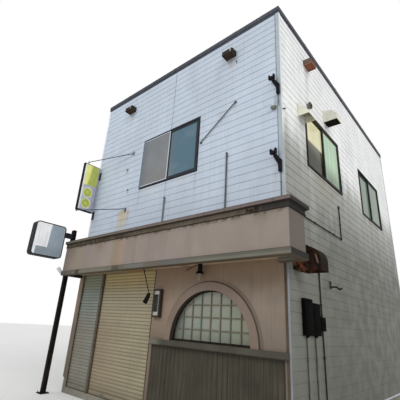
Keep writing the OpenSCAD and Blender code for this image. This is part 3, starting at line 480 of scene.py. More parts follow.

# Greyer zones of a wall as (from level, to level, colour, amount). On the side wall they are painted shade of
# a neighbouring wall below the sunlit top; on the rear they are weathering.
ALLEY_PAINTED_SHADE = [(5.35, 4.20, (142, 143, 136), 0.90), (4.4, 2.7, (102, 102, 94), 0.82),
         (2.6, 0.6, (90, 91, 86), 0.45)]
WEATHER = [(5.6, 2.4, (176, 177, 170), 0.6), (2.4, 0.4, (140, 141, 132), 0.6)]

# Stains below fittings as (along, top, length, width, colour, amount).
RUST, DUST = (150, 112, 66), (100, 98, 88)
FRONT_DRIPS = [
    (-4.16, 3.99, 0.85, 0.56, (190, 166, 112), 0.85),
    (-3.95, 3.98, 0.48, 0.12, (176, 138, 90), 0.75),
    (-4.21, 5.09, 0.20, 0.16, DUST, 0.9),
    (-4.09, 4.52, 0.18, 0.12, DUST, 0.8),
    (-3.62, UPPER_SILL, 0.7, 0.10, DUST, 0.30),
    (-3.2, UPPER_SILL, 0.35, 0.9, (214, 200, 180), 0.30),
    (-1.90, UPPER_SILL, 0.8, 0.10, DUST, 0.35),
    (-2.3, UPPER_SILL, 0.35, 0.8, (206, 200, 180), 0.25),
    (-2.75, UPPER_SILL, 0.5, 0.06, DUST, 0.25),
    (-5.46, 4.2, 0.9, 0.14, RUST, 0.5),
    (-0.10, 5.40, 0.6, 0.09, DUST, 0.45),
    (-0.14, 3.92, 0.5, 0.12, (170, 156, 120), 0.45),
    (-1.09, 6.79, 0.40, 0.26, (176, 152, 128), 0.60),
    (-4.35, 6.79, 0.55, 0.24, (160, 152, 138), 0.35),
    (-0.98, 5.64, 0.30, 0.16, DUST, 0.35),
    (-1.30, 5.6, 0.5, 0.35, DUST, 0.20),
    (SIDING_JOINT, COPING_Z, 6.0, 0.036, (96, 104, 112), 0.85),
]
SIDE_DRIPS = [
    # The grey runs below the side vent and the near hood, at 1.18 and 0.8, are stains together with the
    # hoods' painted shadows.
    (1.18, 6.78, 1.1, 0.26, (150, 146, 136), 0.45),
    (0.34, 2.36, 0.9, 0.34, (96, 82, 60), 0.45),
    (0.8, 5.3, 0.9, 0.30, (150, 148, 140), 0.4),
    (2.1, 5.9, 0.6, 0.26, DUST, 0.3),
    (0.97, UPPER_SILL, 0.7, 0.08, DUST, 0.4),
    (1.86, UPPER_SILL, 0.7, 1.8, (128, 118, 86), 0.55),
    (2.72, UPPER_SILL, 0.9, 0.10, DUST, 0.4),
    (5.15, UPPER_SILL, 0.5, 1.8, (128, 118, 90), 0.35),
    (0.70, 1.5, 0.8, 0.5, DUST, 0.35),
]
REAR_DRIPS = [
    (-2.75, UPPER_SILL, 0.6, 1.8, (128, 120, 96), 0.4),
    (-2.75, LOWER_SILL, 0.6, 1.8, (120, 112, 90), 0.4),
    (-RAIN_PIPE, 7.0, 1.8, 0.40, (110, 112, 88), 0.4),
]


def siding_paint(name, colour, axis, dirt, line, drips, zones=()):
    """Painted siding: dusty grooves, soft vertical runs, greyer zones (painted shade on the side wall,
    weathering on the rear) and the stains below its fittings.
    """
    p = Paint(name, colour, 0.5, sheen=0.3)
    ragged = p.math("SUBTRACT", p.noise(0.22, 12, 4, tall=5), 0.5)
    level = p.math("ADD", p.axis("Z"), p.math("MULTIPLY", ragged, 1.1))
    for high, low, shade, amount in zones:
        p.layer(shade, amount, p.ramp(level, high, low))
    if axis == "Y":
        # The side wall is darker towards the rear: painted shade of a neighbouring wall.
        p.layer((70, 70, 62), 0.6, p.y(0.5, 1.9), p.ramp(level, 4.3, 2.3))
    p.mottle(1.3, 0.07)
    p.mottle(0.35, 0.05, 2, tall=2.5)
    height = p.math("FRACT", p.math("DIVIDE", p.math("SUBTRACT", p.axis("Z"), COURSE_START), COURSE))
    marked_area = p.patch(0.6, 11, 0.3, 0.65, 0.15, tall=0.3)
    p.layer((128, 126, 120), 0.10, p.ramp(height, 0.28, 0.04), marked_area)
    p.layer((70, 70, 70), line, p.ramp(p.gap(height, 0.028), 0.070, 0.030), marked_area)
    p.streaks((122, 122, 112), 0.14 * dirt, 0.05, 1.8, 3)
    p.streaks((98, 92, 78), 0.18 * dirt, 0.02, 0.9, 4, 0.56, 0.75)
    p.spots((90, 84, 72), 0.30 * dirt, 0.05, 0.68, 5)
    p.spots((104, 84, 60), 0.45 * dirt, 0.012, 0.74, 10, 0.02)
    p.layer((92, 94, 80), 0.30 * dirt, p.z(4.6, 0.4), p.patch(0.5, 6, 0.2, 0.7, 0.3, detail=5, tall=1.6))
    for drip in drips:
        p.drip(axis, *drip)
    p.grain(0.004, 7, 0.0006, 0.4, detail=2)
    p.grain(0.25, 8, 0.004, detail=2, tall=0.6)
    p.gloss(0.3, 9, 0.45, 0.65)
    return p


def free_spans(span, holes, high):
    """What is left of a span at one height after the holes are taken out."""
    spans = [span]
    for low_a, high_a, low_z, high_z in holes:
        if low_z < high < high_z:
            parts = [part for a, b in spans for part in ((a, min(b, low_a)), (max(a, high_a), b))]
            spans = [part for part in parts if part[1] > part[0]]
    return spans


def lap_section(low, high):
    """Cross-section of one slice of a course."""
    foot = COURSE_START + math.floor((((low + high) / 2) - COURSE_START) / COURSE) * COURSE
    step = foot + GROOVE

    def lean(z):
        return LAP_FOOT_OUT + (LAP_TOP_OUT - LAP_FOOT_OUT) * (z - step) / (COURSE - GROOVE)

    if low < step < high:
        face = [(GROOVE_OUT, low), (GROOVE_OUT, step), (lean(step), step), (lean(high), high)]
    elif high <= step:
        face = [(GROOVE_OUT, low), (GROOVE_OUT, high)]
    else:
        face = [(lean(low), low), (lean(high), high)]
    return [(-SEAT, low), *face, (-SEAT, high)]


def lap_siding(wall, place, span, foot, holes, paint):
    """One wall's siding, cut round its openings."""
    dress(paint, wall)
    shape = Shape(place)
    first = math.ceil((foot - COURSE_START) / COURSE)
    last = math.floor((COPING_Z - COURSE_START) / COURSE)
    levels = [COURSE_START + k * COURSE for k in range(first, last + 1)]
    levels += [foot, COPING_Z] + [z for hole in holes for z in hole[2:] if foot < z < COPING_Z]
    levels = sorted(levels)
    for a, b in zip(levels, levels[1:]):
        if b - a < 0.002:
            continue
        for part in free_spans(span, holes, (a + b) / 2):
            shape.run(lap_section(a, b), part)
    shape.piece(paint.material.name, paint, "siding", 20)


def flanged(windows):
    """Windows with the flange round them."""
    rim = WINDOW_FLANGE
    return [(a - rim, b + rim, c - rim, d + rim) for a, b, c, d in windows]


def build_siding():
    """Siding on the three clad walls, each with the stains that its own fittings leave."""
    joint = (SIDING_JOINT, SIDING_JOINT + 0.003, 0, 9)
    # The front siding's bluish white is painted sky shade, and the side siding's bright white is painted
    # sunlight.
    lap_siding("front_wall_upper", front, (-HOUSE_W + END_TRIM, -TRIM_FRONT), STOREY_Z,
               flanged([FRONT_WINDOW]) + [joint],
               siding_paint("siding_front", (187, 198, 212), "X", 0.7, 0.13, FRONT_DRIPS))
    lap_siding("side_wall", side, (TRIM_SIDE, HOUSE_D - TRIM_SIDE), PLINTH_Z, flanged(SIDE_WINDOWS),
               siding_paint("siding_side", (240, 241, 240), "Y", 0.9, 0.30, SIDE_DRIPS, ALLEY_PAINTED_SHADE))
    lap_siding("rear_wall", rear, (TRIM_FRONT, HOUSE_W - END_TRIM), PLINTH_Z,
               flanged(REAR_WINDOWS) + [ROOF_OUTLET],
               siding_paint("siding_rear", (214, 217, 216), "X", 1.1, 0.42, REAR_DRIPS, WEATHER))


def build_edge_trims():
    """Strips at the siding's ends and foot, the canopy flashing, and the shop corner's strip and bead."""
    end, starter = (0.0, 0.015), (0.0, 0.017)
    foot = (PLINTH_Z - 0.008, PLINTH_Z + 0.025)
    shape = Shape()
    shape.box((-HOUSE_W, -HOUSE_W + END_TRIM), end, (STOREY_Z, COPING_Z), 0.003)
    shape.piece("party_strip", strip("party_strip", (222, 226, 235)), "trim_sheet", 30)
    shape = Shape()
    flashing = (STOREY_Z - 0.01, STOREY_Z + 0.022)
    shape.box((-HOUSE_W + END_TRIM, -TRIM_FRONT), (0.0, 0.018), flashing, 0.003)
    shape.place = rear
    shape.box((HOUSE_W - END_TRIM, HOUSE_W), end, (PLINTH_Z, COPING_Z), 0.003)
    shape.box((TRIM_FRONT, HOUSE_W - END_TRIM), starter, foot, 0.003)
    shape.place = side
    shape.box((TRIM_SIDE, HOUSE_D - TRIM_SIDE), starter, foot, 0.003)
    shape.piece("edge_trims", strip("edge_trim", (186, 190, 194)), "trim_sheet", 30)
    shape = Shape(side)
    shape.box((0.0, TRIM_SIDE), (0.0, 0.014), (PLINTH_Z, STOREY_Z), 0.003)
    shape.piece("shop_corner_strip", strip("shop_strip", (128, 132, 138)), "trim_sheet", 30)
    shape = Shape()
    shape.box((-0.034, 0.002), (0.0, 0.007), (PLINTH_Z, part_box("canopy_soffit")[0].z), 0.002)
    shape.piece("corner_bead", plain("bead_paint", (80, 66, 54), 0.7, dirt=0.4), "shop_render", 30)


# Ribbed sheet on the party side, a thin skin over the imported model's own ribs.
RIB_PITCH, RIB_W, RIB_CROWN = 0.110, 0.056, 0.028
RIB_OUT, PAN_OUT, SKIN = 0.018, 0.004, 0.0012


def party_paint():
    """Ribbed sheet: rust from the foot up, runs down the ribs and dirt under the coping."""
    p = Paint("party_sheet", (166, 164, 157), 0.55, 0.25)
    p.mottle(0.9, 0.12)
    p.streaks((110, 96, 78), 0.35, 0.04, 2.2, 2)
    p.spots((112, 74, 48), 0.6, 0.06, 0.71, 3)
    p.layer((110, 70, 44), 0.6, p.z(1.2, 0.3), p.patch(0.12, 4, 0.4, 0.6, detail=4))
    p.layer((96, 84, 70), 0.5, p.z(6.8, 7.4), p.patch(0.1, 6, 0.45, 0.6, detail=4, tall=3))
    p.grain(0.2, 5, 0.003, detail=2)
    return p


def build_party_sheet():
    """Skin and screws of the ribbed sheet."""
    paint = party_paint()
    dress(paint, "party_wall")
    shape = Shape(party)
    ribs = int(HOUSE_D / RIB_PITCH)
    first = (HOUSE_D - (ribs - 1) * RIB_PITCH) / 2
    pan, crown = PAN_OUT + SKIN, RIB_OUT + SKIN
    rib = ((-RIB_W / 2 - SKIN, pan), (-RIB_CROWN / 2 - SKIN, crown),
           (RIB_CROWN / 2 + SKIN, crown), (RIB_W / 2 + SKIN, pan))
    outline = [(first + k * RIB_PITCH + reach, out) for k in range(ribs) for reach, out in rib]
    outline = [(0, 0.001), (0, pan), *outline, (HOUSE_D, pan), (HOUSE_D, 0.001)]
    shape.upright(outline, (PLINTH_Z, COPING_Z))
    rows = [0.45 + 0.9 * k for k in range(8)] + [7.2]
    for k in range(0, ribs - 1, 4):
        for high in rows:
            shape.screw(first + (k + 0.5) * RIB_PITCH, pan, high, 0.008)
    shape.piece("party_ribs", paint, "party_sheet", 20)


def dress_foundation():
    """Weathered concrete."""
    p = Paint("concrete", (132, 128, 118), 0.85, sheen=0.2)
    p.mottle(1.1, 0.12)
    p.mottle(0.22, 0.08, 2)
    p.layer((84, 82, 72), 0.5, p.patch(0.6, 3, 0.45, 0.7, detail=5, tall=1.3))
    p.streaks((70, 60, 50), 0.3, 0.03, 0.8, 4)
    p.spots((60, 52, 44), 0.5, 0.015, 0.68, 5)
    p.sprayed(0.003)
    dress(p, "foundation")


def dress_shop_front():
    """Brown render of the shop front, browner below the soffit, with a painted shadow round the arch's
    moulding.
    """
    p = Paint("shop_render", (137, 124, 112), 0.85, sheen=0.2)
    p.mottle(1.1, 0.10)
    p.mottle(0.22, 0.07, 2)
    p.layer((142, 116, 88), 0.6, p.z(1.9, 2.5), p.patch(0.7, 8, 0.2, 0.6, 0.5, detail=4, tall=0.7))
    p.layer((150, 126, 104), 0.45, p.x(-1.6, -2.7))
    p.layer((122, 104, 88), 0.3, p.patch(0.6, 3, 0.45, 0.7, detail=5, tall=1.3))
    p.layer((104, 93, 83), 0.68, p.z(1.9, 1.1))
    far, rim = p.away("X", ARCH_ALONG, ARCH_Z), ARCH_R + ARCH_RING
    # Painted shadow: a dark line round the arch's moulding, and a soft shade beyond it on the street side.
    p.layer((62, 52, 44), 0.7, p.between(far, rim - 0.01, rim + 0.018))
    p.layer((84, 72, 62), 0.45, p.between(far, 0.96, 1.03), p.x(ARCH_ALONG + 0.2, ARCH_ALONG + 0.6))
    p.streaks((80, 68, 56), 0.25, 0.03, 0.8, 4)
    p.spots((66, 56, 48), 0.35, 0.012, 0.68, 5)
    p.layer((96, 88, 76), 0.5, p.z(0.9, 0.3))
    p.sprayed(0.0015)
    dress(p, "front_wall_ground", "shutter_pier", "shutter_header")


def dress_surround():
    """Smooth moulding round the arch, dirty, with painted shade on its outer edge and in the reveal."""
    p = Paint("surround_render", (130, 115, 103), 0.85, sheen=0.15)
    p.mottle(0.8, 0.12)
    p.layer((112, 96, 82), 0.35, p.patch(0.4, 3, 0.45, 0.7, detail=5, tall=1.3))
    p.spots((70, 60, 50), 0.3, 0.015, 0.68, 5)
    # Painted shade on the faces that stand back from the front: the reveal and the outer edge.
    p.layer((54, 46, 40), 0.92, p.y(-0.019, -0.013))
    p.grain(0.008, 6, 0.0012, 0.7, detail=4)
    dress(p, "arch_surround")


def dress_fascia():
    """Pale render of the canopy, with rust and moss runs below the cornice, and painted shade on its street
    end.
    """
    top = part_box("canopy_fascia")[1].z
    p = Paint("fascia_render", (145, 134, 125), 0.85, sheen=0.2)
    p.mottle(1.4, 0.08)
    p.mottle(0.25, 0.05, 2)
    p.layer((128, 118, 108), 0.85, p.x(-3.7, -4.8))
    p.layer((144, 130, 126), 0.35, p.x(-0.5, -2.6))
    p.layer((126, 114, 102), 0.35, p.patch(0.3, 3, 0.48, 0.7, tall=6))
    for low, high, soft, colour, amount in (
            (-3.62, -3.42, 0.08, (134, 122, 92), 0.50), (-3.42, -3.26, 0.06, (160, 128, 94), 0.42),
            (-5.05, -4.72, 0.06, (136, 132, 96), 0.30), (-2.95, -2.85, 0.03, (118, 104, 92), 0.3)):
        p.layer(colour, amount, p.band("X", low, high, soft))
    for middle, length, width, stain, amount in (
            (-5.2, 0.5, 0.5, (104, 100, 72), 0.6), (-4.1, 0.35, 0.6, (104, 92, 62), 0.55),
            (-2.4, 0.14, 1.4, (108, 92, 76), 0.35), (-1.2, 0.10, 1.2, (104, 90, 76), 0.35),
            (-0.05, 0.24, 0.7, (100, 88, 70), 0.5), (-0.55, 0.14, 0.4, (110, 96, 78), 0.4)):
        p.drip("X", middle, top, length, width, stain, amount, 9)
    p.layer((84, 74, 60), 0.7, p.z(top - 0.07, top - 0.015), p.patch(0.08, 12, 0.48, 0.62, detail=4))
    # Painted shade on the end that faces the street.
    p.layer((92, 84, 80), 0.80, p.facing(TO_STREET))
    p.spots((84, 74, 64), 0.35, 0.01, 0.70, 5)
    p.sprayed(0.0012)
    dress(p, "canopy_fascia")


def dress_coping():
    """Dark coated sheet, dusty on top, with a little rust."""
    p = Paint("coping_metal", (46, 49, 62), 0.5, 0.2, 0.2)
    p.mottle(0.5, 0.2)
    p.layer((84, 86, 88), 0.4, p.facing(UP))
    p.streaks((96, 96, 92), 0.25, 0.05, 0.2, 2)
    p.spots((110, 70, 46), 0.5, 0.05, 0.72, 3)
    p.grain(0.3, 4, 0.003, detail=2)
    dress(p, "roof_coping")


def dress_cornice():
    """Brown moulding under a paler lip, with dark lines at its edges, black towards the street corner, and
    painted shade on its street end.
    """
    foot, top = (corner.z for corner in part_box("canopy_cornice"))
    lip = top - 0.064
    p = Paint("cornice_render", (98, 88, 78), 0.85, sheen=0.12)
    p.mottle(0.4, 0.15)
    p.layer((82, 74, 54), 0.7, p.patch(0.12, 3, 0.50, 0.64, detail=4, tall=0.5))
    p.layer((58, 50, 36), 0.75, p.x(-3.0, -3.4), p.patch(0.10, 6, 0.40, 0.55, detail=4))
    p.layer((52, 51, 50), 0.92, p.x(-0.16, -0.08))
    p.layer((44, 34, 22), 0.95, p.band("X", -0.37, -0.13, 0.02), p.patch(0.06, 8, 0.35, 0.5))
    p.layer((52, 46, 40), 0.85, p.z(foot + 0.012, foot + 0.006))
    on_lip = p.z(lip + 0.004, lip + 0.010)
    p.layer((110, 99, 95), 1, on_lip)
    p.layer((98, 94, 84), 0.7, on_lip, p.x(-3.2, -3.9))
    p.layer((50, 43, 38), 0.85, p.band("Z", lip - 0.012, lip + 0.004, 0.003))
    p.layer((60, 52, 52), 0.85, p.z(top - 0.011, top - 0.005))
    # Painted shade on the end that faces the street.
    p.layer((38, 36, 36), 0.85, p.facing(TO_STREET))
    p.streaks((44, 40, 36), 0.35, 0.06, 0.3, 2, 0.52, 0.7)
    p.spots((136, 120, 96), 0.25, 0.04, 0.72, 4)
    p.grain(0.01, 5, 0.0015, 0.7, detail=4)
    dress(p, "canopy_cornice")


def dress_band():
    """Old paint of the lower band in patches, rusty at its joints, with painted shade on its street end."""
    foot, top = (corner.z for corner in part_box("canopy_band"))
    p = Paint("band_paint", (96, 95, 86), 0.7, sheen=0.15)
    p.mottle(0.4, 0.15)
    for low, high, soft, colour, amount in (
            (-3.12, -2.54, 0.03, (106, 107, 102), 0.85), (-2.54, -2.1, 0.05, (108, 94, 88), 0.5),
            (-2.1, -1.5, 0.08, (102, 97, 100), 0.4), (-4.7, -3.5, 0.06, (122, 116, 102), 0.5)):
        p.layer(colour, amount, p.band("X", low, high, soft))
    p.layer((106, 94, 80), 0.5, p.patch(0.35, 2, 0.55, 0.62, detail=4, tall=0.6))
    p.layer((118, 116, 104), 0.6, p.x(-1.6, -1.2), p.band("Z", foot + 0.014, foot + 0.05, 0.006))
    p.layer((66, 62, 58), 0.75, p.z(top - 0.016, top - 0.008))
    p.layer((72, 60, 48), 0.8, p.z(foot + 0.010, foot + 0.004))
    p.layer((92, 82, 78), 0.8, p.x(-4.95, -5.1))
    p.layer((46, 38, 30), 0.85, p.band("X", -4.90, -4.77, 0.015))
    # Painted shade on the end that faces the street.
    p.layer((27, 25, 23), 0.94, p.facing(TO_STREET))
    p.layer((88, 76, 60), 0.7, p.facing(DOWN))
    p.spots((112, 74, 50), 0.5, 0.05, 0.69, 3)
    p.spots((52, 44, 36), 0.5, 0.02, 0.66, 4)
    p.grain(0.02, 5, 0.001, 0.6, detail=4)
    dress(p, "canopy_band")


def dress_soffit():
    """Painted boards with dark joints and water stains."""
    p = Paint("soffit_board", (180, 156, 130), 0.8, sheen=0.2)
    p.mottle(0.8, 0.2)
    p.layer((138, 110, 76), 0.5, p.patch(0.3, 2, 0.5, 0.68, detail=5))
    p.layer((124, 116, 88), 0.75, p.x(-2.6, -3.0))
    p.layer((60, 50, 40), 0.8, p.joint("X", STREET_X, 0.91, 0.495, 0.499))
    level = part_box("canopy_soffit")[0].z
    p.layer((150, 104, 44), 0.8, p.ramp(p.away("X", -3.35, level), 0.34, 0.10))
    p.layer((104, 66, 48), 0.6, p.ramp(p.away("X", -1.95, level), 0.16, 0.05))
    p.spots((70, 56, 42), 0.4, 0.03, 0.68, 3)
    p.grain(0.01, 4, 0.0006)
    dress(p, "canopy_soffit")


def dress_decks():
    """Sheet on the canopy and the roof, and the boards of the upper floor."""
    dress(sheet("deck_sheet", (104, 100, 94)), "canopy_deck")
    dress(sheet("roof_sheet", (92, 98, 104)), "roof_deck")
    p = Paint("floor_timber", (128, 96, 64))
    p.mottle(0.5, 0.2, deep=8)
    p.layer((60, 42, 26), 0.8, p.joint("X", 0, 0.09, 0.47, 0.495))
    p.layer((96, 68, 42), 0.5, p.patch(0.012, 2, 0.45, 0.7, detail=4, deep=25))
    dress(p, "upper_floor")


# Shutter slats: their height, and where the first one starts above the bottom bar.
SLAT, BOTTOM_BAR_TOP = 0.064, 0.21


def shutter_paint(name, node, colour, top_colour, top_amount, seed):
    """Painted roller-shutter slats, stained below the head and each a little different."""
    low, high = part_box(node)
    left, top = low.x - STREET_X, high.z
    p = Paint(name, colour, 0.55, 0.05, 0.2)
    level = p.math("DIVIDE", p.math("SUBTRACT", p.axis("Z"), BOTTOM_BAR_TOP), SLAT)
    p.mottle(0.6, 0.08, seed)
    p.shade(p.math("FRACT", p.math("MULTIPLY", p.math("FLOOR", level), 0.377)), 0, 1, 0.93, 1.04)
    p.layer(darker(colour, 0.46), 0.66, p.joint("Z", BOTTOM_BAR_TOP, SLAT, 0.30, 0.46))
    p.streaks(darker(colour, 0.76), 0.3, 0.04, 1.0, seed + 1)
    p.streaks((84, 66, 44), 0.2, 0.015, 0.6, seed + 2, 0.58, 0.75)
    patchy = p.patch(0.3, seed + 3, 0.2, 0.55, 0.5, detail=4, tall=1.5)
    p.layer(top_colour, top_amount, p.z(top - 0.55, top - 0.05), patchy)
    p.layer((124, 104, 86), 0.4, p.z(1.9, 1.3), p.x(left + 1.2, left + 0.2))
    p.spots((96, 62, 36), 0.4, 0.05, 0.70, seed + 4)
    p.layer(darker(colour, 0.6), 0.5, p.x(left + 0.10, left), p.patch(0.1, seed + 6, 0.3, 0.6, tall=4))
    p.layer((84, 76, 62), 0.4, p.z(0.5, 0.12))
    p.grain(0.15, seed + 5, 0.002, detail=2)
    dress(p, node)


def dress_shutters():
    """Both curtains, and their guides: pale at the left, dark at the post's right half and the end."""
    shutter_paint("cream_shutter", "main_shutter", (154, 145, 120), (182, 160, 104), 0.65, 1)
    shutter_paint("green_shutter", "side_shutter", (127, 134, 126), (138, 134, 100), 0.60, 11)
    p = Paint("guide_metal", (74, 66, 54), 0.6, 0.1, 0.12)
    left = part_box("shutter_guides")[0].x
    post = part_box("side_shutter")[1].x
    p.layer((126, 126, 112), 0.85, p.between(p.axis("X"), left - 0.02, left + 0.026, 0.001))
    p.layer((118, 114, 98), 0.85, p.between(p.axis("X"), post + 0.002, post + 0.028, 0.001))
    p.mottle(0.2, 0.15)
    p.spots((82, 50, 32), 0.8, 0.05, 0.58, 3, 0.08)
    p.streaks((60, 44, 32), 0.5, 0.01, 0.4, 2)
    dress(p, "shutter_guides")


def glass(name, colour, through, rough, sheen):
    """A pane that lets a little light through."""
    return Paint(name, colour, rough, 0.0, sheen, Transmission_Weight=through, IOR=1.45)


def dress_arch():
    """Frame and lattice, and translucent figured glass, dim at the left and greener to the right."""
    dress(plain("arch_frame_paint", (34, 29, 25), 0.7, dirt=0.25, sheen=0.06), "arch_frame")
    dress(plain("lattice_paint", (108, 104, 86), 0.6, dirt=0.3), "arch_lattice")
    p = glass("arch_glass", (143, 146, 135), 0.1, 0.25, 0.5)
    p.layer((152, 145, 130), 0.6, p.patch(0.22, 1, 0.4, 0.65))
    p.layer((126, 144, 134), 0.6, p.patch(0.3, 2, 0.45, 0.7))
    p.layer((138, 142, 112), 0.6, p.x(ARCH_ALONG + 0.1, ARCH_ALONG + 0.7))
    p.layer((86, 94, 92), 0.6, p.x(ARCH_ALONG - 0.45, ARCH_ALONG - 0.72))
    p.layer((110, 118, 102), 0.65, p.z(1.56, 1.32))
    p.grain(0.006, 3, 0.0008, 0.8, detail=2)
    dress(p, "arch_glass")


def dress_panel():
    """Stone ledge under the arch, and the dark boards below it."""
    p = Paint("ledge_stone", (76, 74, 66), 0.85, sheen=0.12)
    p.mottle(0.4, 0.2)
    p.layer((113, 109, 98), 0.8, p.x(-2.3, -2.6))
    p.layer((62, 58, 50), 0.5, p.patch(0.3, 2, 0.5, 0.7, detail=5))
    p.spots((122, 118, 100), 0.4, 0.03, 0.70, 3)
    p.grain(0.01, 4, 0.0012, 0.7, detail=4)
    dress(p, "window_ledge")
    p = Paint("panel_boards", (66, 62, 53), 0.75, sheen=0.15)
    p.mottle(0.4, 0.2)
    p.layer((30, 28, 24), 0.85, p.joint("X", STREET_X, 0.1, 0.44, 0.49))
    p.streaks((100, 96, 78), 0.4, 0.02, 0.7, 2)
    p.grain(0.012, 3, 0.001, 0.6, tall=12)
    dress(p, "base_panel")


def dress_frames():
    """Dark anodised frames: blue-grey at the front window's left, brown-black on the side, with painted
    sunlight on the upper part of the side frames.
    """
    p = plain("dark_aluminium", (40, 44, 53), 0.55, 0.1, sheen=0.08)
    p.layer((98, 112, 126), 0.9, p.x(-3.60, -3.61), p.ramp(p.axis("Y"), 0, -1))
    on_side = p.x(*SIDE_WINDOW_STEP)
    p.layer((30, 28, 25), 0.9, on_side)
    # Painted sunlight: paler brown on the upper part of the side frames.
    p.layer((92, 80, 64), 0.75, on_side, p.z(4.85, 5.15), p.ramp(p.axis("Y"), 0, -0.5))
    p.spots((92, 66, 48), 0.4, 0.03, 0.72, 8)
    dress(p, "window_frames")
    dress(plain("sash_aluminium", (48, 52, 58), 0.5, 0.1, sheen=0.08), "window_sashes")


def dress_screen():
    """Grey mesh in a bright frame."""
    low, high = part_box("insect_screen")
    bar = 0.021
    p = Paint("screen_mesh", (125, 128, 131), 0.7, 0.1, 0.2)
    p.mottle(0.5, 0.10)
    p.layer((128, 124, 116), 0.4, p.z(5.0, 4.5))
    p.layer((104, 110, 118), 0.6, p.x(-3.35, -3.6))
    mesh = p.times(p.between(p.axis("X"), low.x + bar, high.x - bar, 0.0006),
                   p.band("Z", low.z + bar, high.z - bar, 0.0006))
    p.layer((188, 193, 200), 1, p.math("SUBTRACT", 1.0, mesh))
    p.layer((112, 122, 132), 0.9, p.ramp(p.axis("X"), low.x + bar + 0.001, low.x + bar - 0.001))
    p.grain(0.003, 2, 0.0005, 0.6, detail=1)
    dress(p, "insect_screen")


def dress_panes():
    """Teal panes with curtains; the near side window has a blind drawn halfway down its left pane, and
    painted shade darkens the panes below it.
    """
    p = glass("window_glass", (88, 115, 129), 0.06, 0.03, 0.08)
    p.layer((100, 114, 118), 0.7, p.x(-2.45, -2.75))
    p.layer((92, 110, 116), 0.5, p.x(-2.0, -1.9))
    on_side, blind = p.x(*SIDE_WINDOW_STEP), 5.05
    near = p.times(on_side, p.y(3.2, 3.1))
    left, right = p.times(near, p.y(1.88, 1.87)), p.times(near, p.y(1.87, 1.88))
    p.layer((112, 128, 110), 1, on_side)
    # Painted shade: olive on the left pane below the blind, darker towards the sill.
    p.layer((92, 92, 66), 1, left)
    p.layer((42, 38, 28), 0.9, left, p.z(blind, 4.75))
    p.layer((232, 227, 184), 1, left, p.z(blind, blind + 0.01))
    p.layer((170, 166, 124), 0.8, left, p.band("Z", blind, blind + 0.03, 0.003))
    p.layer((190, 217, 186), 1, right)
    # Painted shade on the lower part of the right pane.
    p.layer((92, 102, 78), 0.85, right, p.z(blind, 4.5))
    p.layer((150, 180, 150), 0.45, right, p.patch(0.10, 1, 0.35, 0.65, detail=2, tall=12))
    p.layer((140, 156, 164), 0.2, p.patch(0.8, 2, 0.5, 0.7, tall=0.6))
    dress(p, "window_glass")


def dress_plain_fittings():
    """Fittings of one colour."""
    dress(plain("meter_case", (12, 12, 12), 0.9, dirt=0.05, sheen=0.02), "meter_boxes")
    dress(plain("rain_plastic", (178, 176, 166), 0.5, dirt=0.4), "rain_pipe")
    dress(plain("spot_enamel", (19, 18, 17), 0.7, dirt=0.12, sheen=0.05), "hanging_spotlight")
    dress(rusty("post_paint", (24, 23, 21), (66, 46, 36), 0.66), "sign_post")
    dress(plain("plate_box", (34, 37, 41), 0.6, dirt=0.15, sheen=0.08), "post_sign")


def dress_corner_trim():
    """Corner strip with dirt runs and rust spots; painted shade makes the front leg bluish grey and the
    street leg greyer lower down.
    """
    p = Paint("trim_sheet", (228, 230, 231), 0.5, 0.1, 0.3)
    # Painted shade: bluish grey on the front leg, grey on the street leg below its top.
    p.layer((152, 163, 171), 0.95, p.x(-0.4, -0.3), p.facing(TO_FRONT))
    p.layer((160, 162, 162), 0.85, p.facing(TO_STREET), p.z(5.0, 4.3))
    dress(aged_strip(p, 0.3, 0.71), "corner_trim")


def dress_vents():
    """Brown vent hoods; the one on the side is pale on its cheek and rusty at its mouth, and the front ones
    have a painted highlight down one corner.
    """
    p = rusty("vent_sheet", (52, 48, 45), (84, 62, 50), 0.66, sheen=0.06)
    on_side, mouth = p.x(*SIDE_FITTING_STEP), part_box("vent_hoods")[0].z
    p.layer((120, 88, 72), 0.75, on_side)
    p.layer((112, 100, 90), 0.85, on_side, p.facing(TO_FRONT))
    p.layer((146, 96, 70), 0.7, on_side, p.z(mouth + 0.08, mouth + 0.02), p.patch(0.05, 7, 0.35, 0.55))
    p.layer((138, 128, 118), 0.6, on_side, p.facing(UP))
    # Painted highlight: a pale strip down the street-side corner of each front hood.
    for edge in (-0.980, -4.240):
        marked_area = p.times(p.band("X", edge - 0.036, edge, 0.004), p.facing(TO_FRONT, 0.1, 0.3))
        p.layer((176, 170, 160), 0.8, marked_area, p.z(mouth + 0.02, mouth + 0.05))
    dress(p, "vent_hoods")
    p = plain("vent_alloy", (140, 140, 134), 0.6, 0.1, 0.4, 0.1)
    p.layer((58, 46, 38), 0.85, p.facing(TO_STREET))
    dress(p, "round_vent")


def dress_hoods():
    """Cream hoods, with painted shade making them brown below and inside; the deeper one is a little greyer.
    """
    p = Paint("cream_sheet", (238, 235, 216), 0.5, sheen=0.15)
    p.layer((224, 222, 208), 0.9, p.y(1.4, 1.6))
    p.mottle(0.15, 0.08)
    p.streaks((150, 142, 112), 0.3, 0.015, 0.3, 2)
    p.spots((120, 90, 60), 0.4, 0.012, 0.70, 3)
    # Painted shade under the hoods and on their faces that look to the rear.
    p.layer((118, 98, 70), 0.9, p.facing(DOWN, 0.3, 0.6))
    p.layer((128, 118, 92), 0.6, p.facing(TO_REAR))
    dress(p, "weather_hoods")


